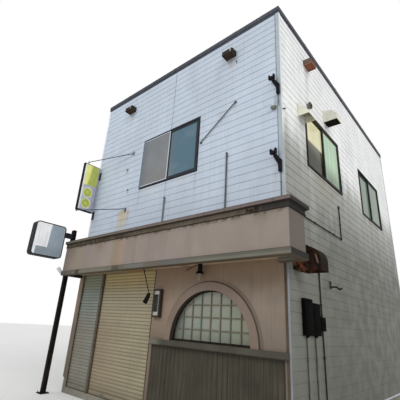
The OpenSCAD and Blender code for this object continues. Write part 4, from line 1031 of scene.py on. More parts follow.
def dress_exhaust():
    """Dark rolled hood, redder on its broad front, with a painted highlight streak down its front and rust on
    its street-side cheek.
    """
    p = rusty("rusty_sheet", (31, 26, 22), (62, 40, 32), 0.58)
    ahead = p.facing(TO_FRONT)
    ragged = p.times(ahead, p.patch(0.09, 7, 0.40, 0.58, detail=4))
    p.layer((130, 80, 58), 0.9, ragged, p.x(0.26, 0.14), p.z(2.66, 2.58))
    p.layer((60, 42, 34), 0.6, ragged, p.z(2.60, 2.68))
    p.layer((66, 40, 31), 0.6, ragged, p.x(0.25, 0.32))
    # Painted highlight: a pale slanting streak down the hood's front.
    lean = p.math("ADD", p.axis("X"), p.math("MULTIPLY", p.axis("Z"), 0.236))
    run = p.between(lean, STREET_X + 0.955, STREET_X + 0.978)
    p.layer((150, 118, 108), 0.75, ahead, run, p.band("Z", 2.475, 2.59, 0.03))
    dress(p, "exhaust_hood")


def dress_brackets():
    """Near-black brackets, and the dull olive hook on the side wall."""
    p = plain("bracket_paint", (27, 27, 33), 0.75, dirt=0.12, sheen=0.05)
    p.layer((56, 53, 45), 0.9, p.y(1.0, 1.2))
    p.spots((92, 60, 42), 0.5, 0.02, 0.70, 8)
    dress(p, "service_brackets")


def dress_lamps():
    """Open lamp tray: dark rim, grey inside, white sockets. Shop lamp: dark bell over a milky glass."""
    p = plain("case_enamel", (58, 48, 42), 0.6, dirt=0.25, sheen=0.08)
    low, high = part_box("lamp_case")
    rim, socket, edge = 0.0335, 0.0625, 0.0004
    inside = p.times(p.between(p.axis("X"), low.x + rim, high.x - rim, edge),
                     p.band("Z", low.z + rim, high.z - rim, edge))
    tray = p.band("Z", low.z + rim + socket, high.z - rim - socket, edge)
    p.layer((84, 84, 80), 1, inside)
    p.layer((172, 172, 162), 1, inside, p.math("SUBTRACT", 1.0, tray))
    dress(p, "lamp_case")
    p = Paint("lamp_enamel", (20, 20, 19), sheen=0.08)
    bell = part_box("shop_lamp")[0].z + 0.10
    p.layer((142, 132, 118), 1, p.z(bell + 0.003, bell - 0.003))
    p.mottle(0.08, 0.2)
    dress(p, "shop_lamp")


def dress_rods():
    """Grey upright rods, darker stays, and rusty wall plates."""
    p = rusty("rod_steel", (104, 108, 116), (96, 72, 56), 0.68, 0.6, 0.15)
    p.layer((66, 74, 88), 0.9, p.x(-3.9, -4.0))
    p.layer((78, 80, 84), 0.8, p.ramp(p.gap(p.axis("X"), STREET_X - 1.37), 0.50, 0.45))
    p.layer((150, 156, 164), 0.6, p.ramp(p.away("X", -4.055, 5.487), 0.07, 0.06), p.facing(TO_FRONT))
    p.spots((84, 56, 40), 0.7, 0.03, 0.62, 9)
    dress(p, "wall_rods")


def dress_sign_box():
    """Dark frame of the tall light box, with paler edges on top and towards the wall."""
    p = plain("sign_box", (30, 29, 34), 0.7, dirt=0.15, sheen=0.06)
    p.layer((178, 176, 150), 0.8, p.facing(UP), p.z(5.40, 5.42))
    p.layer((112, 114, 120), 0.7, p.facing(TO_REAR))
    p.layer((150, 152, 164), 0.85, p.y(-0.085, -0.075), p.y(-0.036, -0.040))
    p.layer((170, 172, 150), 0.8, p.z(5.405, 5.415), p.y(-0.47, -0.46))
    p.layer((58, 64, 68), 0.9, p.y(-0.034, -0.030))
    dress(p, "blade_sign")


def dress_conduits():
    """Dark pipe above the meters and on the side wall, paler grey ones below them."""
    p = Paint("conduit_plastic", (48, 47, 43), 0.7, sheen=0.08)
    p.layer((118, 118, 108), 1, p.z(1.58, 1.50), p.y(1.0, 0.95))
    p.mottle(0.2, 0.15)
    p.streaks((70, 66, 54), 0.3, 0.01, 0.3, 2)
    dress(p, "conduits")


# Light box faces: their inset, their thickness, and where they lie in the recesses.
FACE_INSET, FACE_DEPTH = 0.024, 0.0045


def recesses(box):
    """Near sides of the two faces of a light box that is this wide."""
    return (box[1] - 0.007, box[0] + 0.007 - FACE_DEPTH)


def build_blade_faces():
    """Plain fields, a stripe and two discs in the recesses of the tall light box, with a painted shadow over
    the part near the wall.
    """
    foot, top = BLADE_Z
    end = BLADE_OUT[1]
    p = Paint("blade_face", (236, 232, 138), 0.4, sheen=0.2)
    # Painted shadow: greener and darker beyond a slanting line near the wall.
    drop = p.math("MULTIPLY", p.math("SUBTRACT", p.axis("Z"), foot), -0.12)
    shadow_edge = p.math("ADD", p.axis("Y"), drop)
    p.layer((166, 178, 88), 0.9, p.ramp(shadow_edge, FRONT_Y - 0.44, FRONT_Y - 0.40))
    lower = p.z(4.87, 4.82)
    p.layer((178, 180, 190), 1, lower)
    p.layer((160, 160, 178), 0.7, lower, p.y(-0.17, -0.13))
    p.layer((236, 236, 228), 1, p.y(0.070 - end, 0.055 - end))
    p.layer((190, 206, 150), 0.6, p.y(-0.11, -0.10), p.z(4.9, 5.1))
    for high in (4.64, 4.345):
        far = p.away("Y", -0.291, high)
        p.layer((232, 234, 236), 0.6, p.ramp(far, 0.150, 0.140))
        p.layer((190, 200, 96), 1, p.ramp(far, 0.128, 0.120))
        p.layer((128, 138, 52), 0.6, p.between(far, 0.060, 0.085))
    p.mottle(0.15, 0.1)
    p.streaks((120, 116, 92), 0.25, 0.02, 0.3, 2)
    shape = Shape(open_air)
    reach = (FRONT_Y - BLADE_OUT[0] - FACE_INSET, FRONT_Y - end + FACE_INSET)
    for face in recesses(BLADE_X):
        shape.box((face, face + FACE_DEPTH), reach, (foot + FACE_INSET, top - FACE_INSET), 0.001)
    shape.piece("blade_faces", p, "sign_box", 30)


def build_plate_faces():
    """Bare panels in the recesses of the rounded light box, white towards the street end."""
    (y0, y1), (z0, z1) = PLATE_Y, PLATE_Z
    p = Paint("plate_face", (154, 166, 176), 0.4, sheen=0.2)
    p.layer((138, 151, 162), 0.7, p.z(3.2, 2.9))
    drop = p.math("MULTIPLY", p.math("SUBTRACT", p.axis("Z"), z0), 0.05)
    lean = p.math("SUBTRACT", p.axis("Y"), drop)
    white = (250, 251, 252)
    p.layer(white, 1, p.ramp(lean, y0 + 0.345, y0 + 0.335), p.z(3.045, 3.055))
    p.layer(white, 1, p.ramp(lean, y0 + 0.085, y0 + 0.075))
    p.mottle(0.2, 0.08)
    p.streaks((120, 122, 120), 0.25, 0.02, 0.4, 2)
    radius, inset = 0.056, 0.056 + FACE_INSET
    corners = ((y1 - inset, z1 - inset), (y0 + inset, z1 - inset), (y0 + inset, z0 + inset),
               (y1 - inset, z0 + inset))
    outline = []
    for quarter, (y, z) in enumerate(corners):
        for k in range(7):
            turn = math.radians(90 * quarter + 15 * k)
            outline.append((y + radius * math.cos(turn), z + radius * math.sin(turn)))
    shape = Shape(open_air)
    for face in recesses(PLATE_X):
        shape.run(outline, (face, face + FACE_DEPTH))
    shape.piece("plate_faces", p, "plate_box", 30)


# Flanges of hoods and vents stand this far out from the wall; their screws sit just inside that.
FLANGE_OUT, SCREW_OUT = 0.0125, 0.0124


def side_flanges(shape, low, high, rim, levels, screws, size=0.005):
    """Upright flanges on both sides of a hood, with screws at some heights."""
    for a, b in ((low - rim, low + SEAT), (high - SEAT, high + rim)):
        shape.box((a, b), (0.0, FLANGE_OUT), levels, 0.001)
        for z in screws:
            shape.screw((a + b) / 2, SCREW_OUT, z, size)


def build_vent_parts():
    """Dark slats that close the mouths of the three vent hoods, and the flanges round them."""
    foot, top = (corner.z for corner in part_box("vent_hoods"))
    width, reach, thick, slats, rim = 0.225, 0.185, 0.006, 7, 0.014
    pitch = (reach - 0.03) / slats
    louvres, flange = Shape(), Shape()
    for place, left in ((front, -1.205), (front, -4.465), (side, 1.07)):
        louvres.place = flange.place = place
        right, z = left + width, foot + 0.012
        for k in range(slats):
            out = 0.012 + k * pitch
            far = out + pitch * 1.1
            louvres.run([(out, z), (far, z + 0.010), (far, z + 0.013), (out, z + 0.003)],
                        (left + thick - SEAT, right - thick + SEAT))
        side_flanges(flange, left, right, rim, (foot + 0.004, top - 0.004), (foot + 0.03, top - 0.03))
        flange.box((left - rim, right + rim), (0.0, FLANGE_OUT), (top - 0.005, top + 0.010), 0.001)
    p = plain("louvre_paint", (70, 56, 46), 0.8, sheen=0.04)
    p.layer((146, 94, 74), 0.9, p.x(*SIDE_FITTING_STEP))
    louvres.piece("vent_louvres", p, "vent_sheet", 20)
    p = plain("vent_flange", (66, 60, 55), 0.7, dirt=0.3, sheen=0.08)
    flange.piece("vent_flanges", p, "vent_sheet", 20)


def build_round_vent_grille():
    """Slatted face of the round vent."""
    along, high, radius, slats = 1.15, 5.83, 0.040, 4
    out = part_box("round_vent")[1].x - STREET_X
    shape = Shape(side)
    for k in range(slats):
        z = high - radius + (k + 0.5) * 2 * radius / slats
        half = math.sqrt(radius ** 2 - (z - high) ** 2)
        shape.run([(out - SEAT, z - 0.007), (out + 0.007, z - 0.009), (out + 0.009, z - 0.006),
                   (out - SEAT, z + 0.004)], (along - half, along + half))
    ring = [(0.056, -0.026), (0.075, -0.022), (0.075, -0.013), (0.071, -0.009)]
    shape.turned((along, out, high), ring, 28, OUTWARD)
    shape.piece("round_vent_grille", plain("grille_alloy", (112, 98, 86), 0.6, 0.1, 0.4, 0.1), "vent_alloy")


# Hoods on the side wall as (along low, along high, foot, head).
HOODS = ((0.645, 0.955, 5.31, 5.61), (1.985, 2.25, 5.905, 6.19))
EXHAUST = (0.20, 0.47, 2.37, 2.86)


def build_hood_parts():
    """Wall flanges of the weather hoods with their screws, and a near-black liner inside the deeper one, a
    painted shade that darkens its mouth.
    """
    rim = 0.016
    shape = Shape(side)
    for low, high, foot, head in HOODS:
        screws = (foot + 0.04, (foot + head) / 2, head - 0.04)
        side_flanges(shape, low, high, rim, (foot + 0.006, head), screws)
        shape.box((low - rim, high + rim), (0.0, FLANGE_OUT), (head - SEAT, head + 0.012), 0.001)
    shape.piece("hood_flanges", plain("flange_cream", (226, 222, 202), dirt=0.3), "cream_sheet", 20)
    low, high, foot, head = HOODS[1]
    # Painted shade: a near-black solid that fills the deeper hood's mouth.
    shade_liner = Shape(side)
    shade_liner.run([(0.0, foot + 0.004), (0.286, foot + 0.004), (0.286, foot + 0.10), (0.20, foot + 0.238),
              (0.0, foot + 0.262)], (low + 0.008, high - 0.008))
    shade_liner.piece("hood_shade_liner", plain("shade_liner_black", (20, 17, 14), 0.8, sheen=0.04), "cream_sheet", 20)


def build_exhaust_parts():
    """Wall flanges and rivets of the rolled exhaust hood."""
    low, high, foot, head = EXHAUST
    shape = Shape(side)
    screws = [foot + 0.07 + k * 0.13 for k in range(4)]
    side_flanges(shape, low, high, 0.018, (foot + 0.03, head), screws, 0.006)
    for a, sign in ((low + SEAT, -1), (high - SEAT, 1)):
        for k in range(7):
            z = foot + (0.022 if k > 1 else 0.045)
            shape.turned((a, 0.05 + k * 0.055, z), [(0.005, 0), (0.004, 0.003)], 8, (sign, 0, 0))
    paint = rusty("exhaust_flange", (44, 34, 28), (92, 56, 40), 0.56)
    shape.piece("exhaust_flanges", paint, "rusty_sheet", 20)


def build_meter_parts():
    """Lids, small windows, screws and glands of the meter boxes."""
    shape, panes = Shape(side), Shape(side)
    face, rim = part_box("meter_boxes")[1].x - STREET_X, 0.008
    foot, boxes = 1.50, ((0.415, 0.700, 2.015, face, 0.45), (0.705, 0.985, 1.970, face - 0.005, 0.5))
    for low, high, head, out, gland in boxes:
        lid = (low + 0.012, high - 0.012)
        shape.box(lid, (out - SEAT, out + 0.005), (foot + 0.012, head - 0.012), 0.002)
        middle = (low + high) / 2
        left, right, sill, top = middle - 0.055, middle + 0.055, head - 0.20, head - 0.09
        shape.bars((left - rim, right + rim), (out + 0.004, out + 0.008), (sill - rim, top + rim), rim, 0.001)
        panes.box((left, right), (out + 0.004, out + 0.0062), (sill, top), 0.0006)
        for a, z in product((low + 0.028, high - 0.028), (foot + 0.028, head - 0.028)):
            shape.screw(a, out + 0.0048, z, 0.006)
        shape.turned((low + gland * (high - low), 0.025, foot + SEAT),
                     [(0.024, 0), (0.024, -0.018), (0.020, -0.026)], 16)
    shape.box((1.006, 1.169), (face - SEAT, face + 0.004), (1.581, 1.774), 0.002)
    for a, z in product((1.02, 1.155), (1.595, 1.760)):
        shape.screw(a, face + 0.0038, z, 0.005)
    shape.box((1.075, 1.10), (face + 0.003, face + 0.018), (1.64, 1.70), 0.003)
    shape.piece("meter_lids", plain("meter_lid", (12, 12, 12), 0.9, dirt=0.05, sheen=0.02), "meter_case")
    panes.piece("meter_windows", plain("meter_glass", (14, 15, 16), 0.9, dirt=0.05, sheen=0.02), "meter_case")


def build_conduit_parts():
    """Couplings, elbows and a cap on the conduits, and sockets on the rain pipe."""
    dark = Shape(side)
    reach, bend, top, level = 0.019, 2.42, 4.05, 3.345
    dark.turned((bend, reach, level), [(0.012, -0.018), (0.017, -0.008), (0.017, 0.03), (0.014, 0.04)], 14)
    dark.turned((bend, reach, level), [(0.017, -0.04), (0.017, 0.004)], 14, ALONG)
    dark.turned((bend, reach, top), [(0.013, -0.03), (0.020, -0.02), (0.020, 0.004), (0.010, 0.014)], 14)
    for along in (0.9, 1.75):
        dark.turned((along, reach, level), [(0.0145, -0.025), (0.0145, 0.025)], 14, ALONG)
    dark.box((0.044, 0.078), (0.0, 0.036), (level - 0.024, level + 0.024), 0.003)
    for high, radius, length in ((2.46, 0.0145, 0.04), (1.79, 0.016, 0.035)):
        dark.turned((1.13, reach, high), [(radius, 0), (radius, length)], 14)
    dark.piece("conduit_fittings", plain("fitting_plastic", (44, 43, 39), 0.7, sheen=0.08), "conduit_plastic")
    pale = Shape(side)
    for along in (0.543, 0.845):
        pale.turned((along, 0.025, 0.62), [(0.021, 0), (0.021, 0.05)], 16)
    paint = plain("socket_plastic", (112, 112, 103), 0.7, dirt=0.3, sheen=0.08)
    pale.piece("conduit_sockets", paint, "conduit_plastic")
    pipe = Shape(rear)
    for z in (1.10, 3.05, 4.95):
        pipe.turned((RAIN_PIPE, 0.046, z), [(0.0435, 0), (0.0435, 0.07), (0.040, 0.078)], 20)
    pipe.box((RAIN_PIPE - 0.126, RAIN_PIPE + 0.126), (-0.002, 0.157), (7.036, 7.048), 0.002)
    pipe.turned((RAIN_PIPE, 0.075, 6.865), [(0.050, 0), (0.043, -0.05)], 20)
    pipe.piece("rain_pipe_sockets", plain("rain_socket", (170, 168, 158), dirt=0.4), "rain_plastic")


def build_wall_cap():
    """Round cap of a pipe that was left on the siding, with a painted highlight on its top."""
    p = plain("cap_alloy", (118, 116, 106), 0.6, 0.1, 0.3, 0.1)
    # Painted highlight on the upward faces and a pale band across the top.
    p.layer((214, 214, 206), 0.9, p.facing(UP, 0.1, 0.5))
    p.layer((196, 202, 206), 0.75, p.z(5.180, 5.200))
    profile = [(0.046, 0), (0.046, 0.030), (0.052, 0.034), (0.052, 0.046), (0.034, 0.054)]
    shape = Shape()
    shape.turned((-0.13, 0, 5.175), profile, 24, OUTWARD)
    shape.piece("wall_cap", p, "vent_alloy", 30)


def build_wall_hooks():
    """Hooks, rod ends, a pin and clips on the siding."""
    shape = Shape()
    for along, high in ((-4.21, 5.076), (-4.087, 4.507)):
        shape.turned((along, 0, high), [(0.016, 0), (0.016, 0.016), (0.010, 0.020)], 14, OUTWARD)
        shape.tube([(along, 0.010, high), (along, 0.034, high), (along + 0.014, 0.040, high - 0.012)], 0.005)
    shape.box((-0.958, -0.940), (0.0, 0.016), (6.628, 6.682), 0.003)
    shape.tube([(-0.949, 0.012, 6.65), (-0.949, 0.036, 6.645), (-0.949, 0.040, 6.665)], 0.005)
    for along, top in ((-1.115, 4.56), (-2.718, 4.00)):
        shape.turned((along, 0.030, top), [(0.013, -0.012), (0.019, 0.0), (0.021, 0.012), (0.014, 0.026)], 14)
        shape.turned((along, 0.030, STOREY_Z), [(0.030, 0), (0.030, 0.006), (0.016, 0.016)], 16)
    shape.place = side
    shape.tube([(0.012, 0.021, 5.100), (0.110, 0.020, 5.163)], 0.009, 10)
    shape.box((0.100, 0.126), (0.0, 0.026), (5.152, 5.178), 0.003)
    shape.box((2.432, 2.458), (0.0, 0.030), (3.802, 3.830), 0.003)
    shape.piece("wall_hooks", plain("hook_metal", (72, 72, 76), 0.6, 0.1, 0.3, 0.1), "rod_steel")


def build_wall_lines():
    """Two thin lines with their clips, up the front and down the corner."""
    line = Shape()
    line.tube([(-0.062, 0.013, 4.12), (-0.062, 0.013, COPING_Z - 0.002)], 0.0045)
    for k in range(6):
        clip = 4.30 + k * 0.55
        line.box((-0.072, -0.053), (0.0, 0.019), (clip, clip + 0.012), 0.001)
    line.piece("front_line", plain("line_plastic", (112, 124, 136), 0.6, sheen=0.1), "conduit_plastic")
    line = Shape()
    for low, high in ((STOREY_Z + 0.002, WIRE_FEET[0] + 0.003), (5.17, WIRE_FEET[1] + 0.002)):
        line.tube([(WIRE_POST, 0.020, low), (WIRE_POST, 0.020, high)], 0.0065)
    for z in (3.40, 3.72, 5.25):
        line.box((WIRE_POST - 0.011, WIRE_POST + 0.011), (0.014, 0.028), (z, z + 0.014), 0.001)
    line.piece("corner_line", plain("corner_plastic", (84, 88, 92), 0.6, sheen=0.1), "conduit_plastic")


def build_bracket_parts():
    """Gusset plates, bolts and insulator stubs of the two corner brackets, and the hook's screws."""
    shape = Shape()
    gusset = ((-0.056, 0.12), (-0.010, 0.20), (-0.012, 0.215), (-0.084, 0.322), (-0.150, 0.322))
    for foot in WIRE_FEET:
        shape.slab([(a, foot + h) for a, h in gusset], (0.038, 0.068))
        for z in (foot + 0.03, foot + 0.10):
            shape.turned((WIRE_POST, 0.063, z), [(0.012, 0), (0.012, 0.008), (0.008, 0.011)], 6, OUTWARD)
        stub = [(0.008, 0), (0.012, 0.004), (0.012, 0.012), (0.006, 0.018)]
        for along in (-0.164, -0.078):
            shape.turned((along, 0.088, foot + 0.404), stub, 12)
    shape.place = side
    for z in (2.295, 2.385):
        shape.turned((1.62, 0.023, z), [(0.010, 0), (0.010, 0.006)], 6, OUTWARD)
    shape.piece("bracket_bolts", plain("bolt_paint", (28, 28, 33), 0.75, sheen=0.05), "bracket_paint")


def build_shop_lights():
    """Reflector strip of the open lamp tray, rings and knob of the spotlight, and the lamp's cable."""
    shape = Shape()
    shape.box((-2.560, -2.538), (0.020, 0.060), (1.732, 2.048), 0.003)
    paint = plain("reflector", (150, 152, 150), 0.4, 0.2, 0.3, 0.3)
    shape.piece("lamp_reflector", paint, "case_enamel")
    shape = Shape()
    pivot, lean = Vector((-2.61, 0.25, 2.03)), Vector((-0.096, 0, -0.148)).normalized()
    for start, profile in ((0.155, [(0.0415, 0), (0.0455, 0.004), (0.0455, 0.016), (0.0405, 0.018)]),
                           (0.040, [(0.036, 0), (0.040, 0.003), (0.040, 0.009), (0.038, 0.012)])):
        shape.turned(pivot + lean * start, profile, 24, lean)
    knob = [(0.009, 0), (0.009, 0.020), (0.016, 0.022), (0.016, 0.032)]
    shape.turned((-2.61, 0.262, 2.03), knob, 14, OUTWARD)
    shape.piece("spot_fittings", plain("spot_ring", (26, 25, 24), 0.7, sheen=0.05), "spot_enamel", 30)
    shape = Shape()
    shape.tube([(-1.965, 0.004, 2.452), (-1.90, 0.008, 2.478), (-1.84, 0.006, 2.500), (-1.79, 0.012, 2.520),
                (-1.72, 0.040, 2.525), (-1.62, 0.080, 2.525), (-1.545, 0.108, 2.525)], 0.007)
    for along, out, high in ((-1.90, 0.008, 2.478), (-1.70, 0.049, 2.525)):
        shape.turned((along, out, high), [(0.013, -0.006), (0.013, 0.006)], 8, ALONG)
    shape.piece("lamp_cable", rusty("lamp_cable", (84, 58, 40), (110, 66, 40), 0.5), "lamp_enamel", 30)


def build_canopy_parts():
    """Patch plate, joint cover and peg of the lower band, and the flashing on the canopy's deck."""
    low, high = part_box("canopy_band")
    out = FRONT_Y - low.y
    shape = Shape()
    shape.box((-3.50, -3.29), (out - 0.004, out + 0.004), (low.z + 0.014, high.z - 0.013), 0.002)
    for a in (-3.485, -3.305):
        shape.screw(a, out + 0.0038, (low.z + high.z) / 2, 0.005)
    shape.box((-4.885, -4.825), (out - 0.004, out + 0.006), (low.z + 0.012, high.z - 0.012), 0.002)
    shape.box((-3.20, -3.14), (out - 0.030, out - 0.006), (low.z - 0.012, low.z + 0.004), 0.002)
    shape.piece("band_plates", plain("band_plate", (86, 80, 70), 0.7, dirt=0.5, sheen=0.1), "band_paint")
    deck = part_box("canopy_deck")[1].z
    section = ((0.0, -SEAT), (0.070, -SEAT), (0.070, 0.004), (0.016, 0.010), (0.014, 0.085), (0.0, 0.085))
    shape = Shape()
    shape.run([(o, deck + h) for o, h in section], (-HOUSE_W, 0.0))
    for k in range(12):
        head = [(0.009, 0), (0.009, 0.003), (0.005, 0.005)]
        shape.turned((-HOUSE_W + 0.23 + k * 0.46, 0.045, deck + 0.004), head, 8)
    shape.piece("deck_flashing", sheet("deck_flashing", (92, 92, 90)), "deck_sheet", 20)


def build_roof_parts():
    """Joint covers on the coping, and flashings round the roof deck."""
    foot, top = (corner.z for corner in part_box("roof_coping"))
    out, thick, wall, half = 0.025, 0.003, 0.150, 0.04
    short, long = (0.9, 2.7, 4.5), (1.2, 3.0, 4.8, 6.6)
    cover = Shape()
    for place, start, joints in ((front, -HOUSE_W, short), (rear, 0.0, short), (side, 0.0, long),
                                 (party, 0.0, long)):
        cover.place = place
        for joint in joints:
            span = (start + joint - half, start + joint + half)
            cover.box(span, (out - 0.004, out + thick), (foot + 0.054, top - 0.012), 0.001)
            cover.run([(-wall - 0.020, top - 0.020), (out - 0.010, top - 0.004), (out - 0.010, top + 0.003),
                       (-wall - 0.020, top - 0.011)], span)
    cover.piece("coping_covers", plain("cover_metal", (50, 53, 66), 0.5, 0.2, 0.3), "coping_metal", 20)
    deck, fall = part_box("roof_deck")[1].z - 0.026, 0.110
    flash = Shape()
    for place, level, bend, lip, head, span in (
            (front, deck, -0.012, -0.006, 0.12, (-HOUSE_W + wall, -wall)),
            (rear, deck - fall, -0.008, -0.001, 0.15, (wall, HOUSE_W - wall))):
        flash.place = place
        section = ((0, -0.01), (-0.08, bend), (-0.08, lip), (-0.012, 0.012), (-0.004, head), (0, head))
        flash.run([(o - wall, level + h) for o, h in section], span)
    flash.piece("roof_flashings", sheet("roof_flashing", (100, 104, 108)), "roof_sheet", 20)


def build_window_parts():
    """Glass beads, finger pulls and the wide meeting stile of the front window."""
    bar, stile, sash, bead = 0.0363, 0.042, 0.8797, 0.007
    beads, pulls = Shape(), Shape()
    for place, windows in ((front, [FRONT_WINDOW]), (side, SIDE_WINDOWS), (rear, REAR_WINDOWS)):
        beads.place = pulls.place = place
        for left, right, sill, head in windows:
            bottom, top = sill + bar + stile, head - bar - stile
            middle = (sill + head) / 2
            inner = (left + bar + stile, left + bar + sash - stile, -0.0260, left + bar + 0.010, -0.016)
            outer = (right - bar - sash + stile, right - bar - stile, 0.0020, right - bar - 0.032, 0.012)
            # The insect screen covers the front window's inner sash.
            for a, b, pane, pull, face in [outer] if place is front else [inner, outer]:
                beads.bars((a, b), (pane, pane + 0.006), (bottom, top), bead)
                grip = (middle - 0.07, middle + 0.07)
                pulls.box((pull, pull + 0.022), (face - SEAT, face + 0.005), grip, 0.002)
    p = plain("bead_rubber", (22, 22, 23), 0.8, dirt=0.1, sheen=0.04)
    beads.piece("glass_beads", p, "sash_aluminium")
    pulls.place = front
    left, right, sill, head = FRONT_WINDOW
    left += bar + sash
    pulls.box((left - 0.002, left + 0.026), (0.001, 0.0125), (sill + bar, head - bar), 0.002)
    pulls.piece("window_pulls", plain("pull_metal", (34, 38, 46), 0.5, 0.1, 0.1, 0.08), "sash_aluminium")


def build_shutter_parts():
    """Pull handles, a lock plate and rubber feet of the roller shutters."""
    metal, rubber = Shape(), Shape()
    face = -0.0275
    for low, high, handles, lock in ((-4.52, -2.75, (-4.02, -3.28), 0.0), (-5.39, -4.56, (-4.975,), 0.22)):
        for middle in handles:
            metal.box((middle - 0.05, middle + 0.05), (face - 0.002, face + 0.003), (0.135, 0.200), 0.001)
            bow = ((-0.036, 0), (-0.036, 0.022), (0.036, 0.022), (0.036, 0))
            metal.tube([(middle + a, face + o, 0.166) for a, o in bow], 0.005)
        middle = (low + high) / 2 + lock
        metal.box((middle - 0.03, middle + 0.03), (face - 0.002, face + 0.004), (0.140, 0.195), 0.002)
        metal.turned((middle, face + 0.003, 0.168), [(0.012, 0), (0.012, 0.004), (0.008, 0.006)], 14, OUTWARD)
        rubber.box((low + 0.035, high - 0.035), (face - 0.008, face + 0.002), (0.120, 0.131), 0.002)
    metal.piece("shutter_locks", plain("lock_metal", (128, 124, 108), 0.5, 0.4, 0.5), "guide_metal")
    rubber.piece("shutter_feet", plain("foot_rubber", (38, 36, 32), 0.8, sheen=0.06), "guide_metal")


# Screws of the light boxes: how far inside the rim they sit, and their profile.
RIM, RIM_SCREW = 0.011, [(0.006, 0), (0.006, 0.003), (0.003, 0.005)]


def build_sign_parts():
    """Rim screws and hinges of the tall light box, and its bracket bolts."""
    shape = Shape()
    (y0, y1), (z0, z1) = BLADE_OUT, BLADE_Z
    x0, x1 = (x - STREET_X for x in BLADE_X)
    for x, sign in ((x1, 1), (x0, -1)):
        for o, z in product((y0 + RIM, y1 - RIM), (z0 + RIM, (z0 + z1) / 2, z1 - RIM)):
            shape.turned((x - sign * SEAT, o, z), RIM_SCREW, 8, (sign, 0, 0))
    for z in (z0 + 0.25, z1 - 0.30):
        shape.turned((x1 - 0.004, y1 - 0.003, z), [(0.007, 0), (0.007, 0.07)], 10)
    for a, z in product((-5.478, -5.422), (3.992, 4.152, 5.117, 5.270)):
        shape.turned((a, 0.023, z), [(0.010, 0), (0.010, 0.007), (0.006, 0.010)], 6, OUTWARD)
    shape.piece("blade_fittings", plain("blade_screw", (46, 46, 52), 0.6, 0.1, sheen=0.1), "sign_box")


def square(x, y, half):
    """Corners of an upright post or cap."""
    return [(x - half, y - half), (x + half, y - half), (x + half, y + half), (x - half, y + half)]


def build_post_parts():
    """Base plate with bolts, cap, clamps and lamp arm of the sign post."""
    low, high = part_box("sign_post")
    x, y, half = (low.x + high.x) / 2, (low.y + high.y) / 2, (high.x - low.x) / 2
    steel = Shape(open_air)
    steel.box((x - 0.10, x + 0.10), (y - 0.10, y + 0.10), (0.0, 0.012), 0.002)
    bolt = [(0.016, 0), (0.016, 0.010), (0.007, 0.012), (0.007, 0.030)]
    for a, b in square(x, y, 0.075):
        steel.turned((a, b, 0.011), bolt, 6)
    steel.prism([(a, b, high.z - 0.006) for a, b in square(x, y, half + 0.004)],
                [(a, b, high.z + 0.020) for a, b in square(x, y, 0.012)])
    arm, clamp = PLATE_Z[0] + 0.67 * (PLATE_Z[1] - PLATE_Z[0]), half + 0.006
    for z in (arm + 0.016, arm + 0.080):
        steel.box((x - clamp, x + clamp), (y - clamp, y + clamp), (z, z + 0.026), 0.002)
        for sign in (-1, 1):
            place = (x + sign * (half + 0.005), y - 0.012, z + 0.013)
            steel.turned(place, [(0.009, 0), (0.009, 0.010)], 6, (sign, 0, 0))
    steel.box((x - 0.03, x + 0.03), (low.y - 0.012, low.y + SEAT), (2.43, 2.53), 0.003)
    arm = ((0.008, 2.48), (0.050, 2.48), (0.076, 2.526))
    steel.tube([(x, low.y - out, z) for out, z in arm], 0.012, 12)
    steel.piece("post_fittings", rusty("post_steel", (26, 25, 23), (70, 48, 38), 0.62), "post_paint")


def build_plate_screws():
    """Rim screws of the rounded light box."""
    (y0, y1), (z0, z1) = PLATE_Y, PLATE_Z
    ends = [(y0 + RIM, z0 + 0.25), (y0 + RIM, z1 - 0.25), (y1 - RIM, z0 + 0.20), (y1 - RIM, z1 - 0.16)]
    ends += list(product((y0 + 0.25, y1 - 0.25), (z0 + RIM, z1 - RIM)))
    screws = Shape(open_air)
    for (face, sign), (y, z) in product(((PLATE_X[1], 1), (PLATE_X[0], -1)), ends):
        screws.turned((face - sign * SEAT, y, z), RIM_SCREW, 8, (sign, 0, 0))
    screws.piece("plate_screws", plain("plate_screw", (70, 74, 80), 0.5, 0.3), "plate_box")


def build_post_lamp():
    """Small white bullet lamp on the post's arm, turned up towards the street."""
    low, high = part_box("sign_post")
    lamp = Shape(open_air)
    bullet = [(0.016, -0.004), (0.030, 0.004), (0.040, 0.030), (0.042, 0.060), (0.042, 0.128), (0.046, 0.134),
              (0.046, 0.156), (0.036, 0.160)]
    lamp.turned(((low.x + high.x) / 2, low.y - 0.070, 2.520), bullet, 24, (0, -0.713, 0.701))
    lamp.piece("post_lamp", plain("post_lamp_paint", (226, 228, 228), dirt=0.15), "trim_sheet", 30)


def set_camera():
    """Camera of the photograph: eye height 1.55 m on the street corner, looking up to the left."""
    lens = bpy.data.cameras.new("camera")
    lens.lens, lens.sensor_width = 29.93, 36
    camera = bpy.data.objects.new("camera", lens)
    right = Vector((0.7578, 0.6499, 0.0582))
    up = Vector((0.1883, -0.3033, 0.9341))
    forward = Vector((-0.6247, 0.6969, 0.3522))
    turn = Matrix((right, up, -forward)).transposed().to_4x4()
    turn.translation = Vector((4.966, -8.05, 1.55))
    camera.matrix_world = turn
    bpy.context.scene.collection.objects.link(camera)
    bpy.context.scene.camera = camera


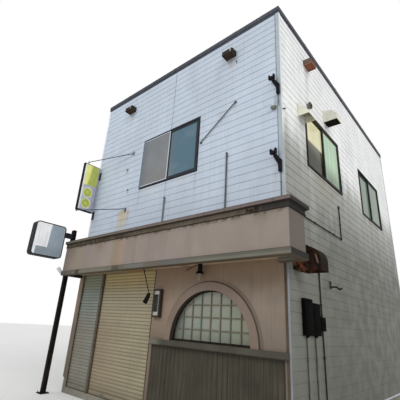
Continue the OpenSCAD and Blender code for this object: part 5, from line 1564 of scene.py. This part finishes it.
def set_sky():
    """Soft grey light on the walls, and plain white where the camera, a gloss or a pane sees the sky."""
    world = bpy.data.worlds.new("studio")
    bpy.context.scene.world = world
    world.use_nodes = True
    nodes, links = world.node_tree.nodes, world.node_tree.links
    soft, white = nodes["Background"], nodes.new("ShaderNodeBackground")
    soft.inputs["Color"].default_value = (0.97, 0.985, 1.0, 1)
    soft.inputs["Strength"].default_value = 0.68
    white.inputs["Color"].default_value = (1, 1, 1, 1)
    rays = nodes.new("ShaderNodeLightPath").outputs
    seen = rays["Is Camera Ray"]
    for ray in ("Is Glossy Ray", "Is Transmission Ray"):
        either = nodes.new("ShaderNodeMath")
        either.operation = "MAXIMUM"
        links.new(seen, either.inputs[0])
        links.new(rays[ray], either.inputs[1])
        seen = either.outputs[0]
    mix = nodes.new("ShaderNodeMixShader")
    for socket, value in enumerate((seen, soft.outputs[0], white.outputs[0])):
        links.new(value, mix.inputs[socket])
    links.new(mix.outputs[0], nodes["World Output"].inputs["Surface"])


def set_suns():
    """A broad key from the front and a fill from the street side."""
    for name, towards, energy, angle in (("key", (-0.25, -0.80, 0.62), 0.94, 30),
                                         ("fill", (0.85, -0.30, 0.50), 1.00, 40)):
        sun = bpy.data.lights.new(name, "SUN")
        sun.energy = energy
        sun.angle = math.radians(angle)
        lit = bpy.data.objects.new(name, sun)
        lit.rotation_euler = Vector(towards).to_track_quat("Z", "Y").to_euler()
        bpy.context.scene.collection.objects.link(lit)
    bpy.context.scene.view_settings.view_transform = "Standard"


def set_floor():
    """Plain ground just below the building's foot."""
    mesh = bmesh.new()
    bmesh.ops.create_grid(mesh, x_segments=1, y_segments=1, size=60)
    data = bpy.data.meshes.new("floor")
    mesh.to_mesh(data)
    mesh.free()
    floor = bpy.data.objects.new("floor", data)
    floor.location.z = cad_low.z - 0.002
    p = Paint("floor_plain", (226, 226, 224), 0.9)
    p.mottle(3.0, 0.02)
    data.materials.append(p.done())
    bpy.context.scene.collection.objects.link(floor)


for step in (
        set_camera, set_sky, set_suns, set_floor,
        dress_foundation, dress_shop_front, dress_surround, dress_fascia, dress_coping, dress_cornice,
        dress_band, dress_soffit, dress_decks, dress_shutters, dress_arch, dress_panel, dress_frames,
        dress_screen, dress_panes, dress_plain_fittings, dress_corner_trim, dress_vents, dress_hoods,
        dress_exhaust, dress_brackets, dress_lamps, dress_rods, dress_sign_box, dress_conduits,
        build_siding, build_edge_trims, build_party_sheet, build_blade_faces, build_plate_faces,
        build_vent_parts, build_round_vent_grille, build_hood_parts, build_exhaust_parts,
        build_meter_parts, build_conduit_parts, build_wall_cap, build_wall_hooks, build_wall_lines,
        build_bracket_parts, build_shop_lights, build_canopy_parts, build_roof_parts, build_window_parts,
        build_shutter_parts, build_sign_parts, build_post_parts, build_plate_screws, build_post_lamp):
    step()
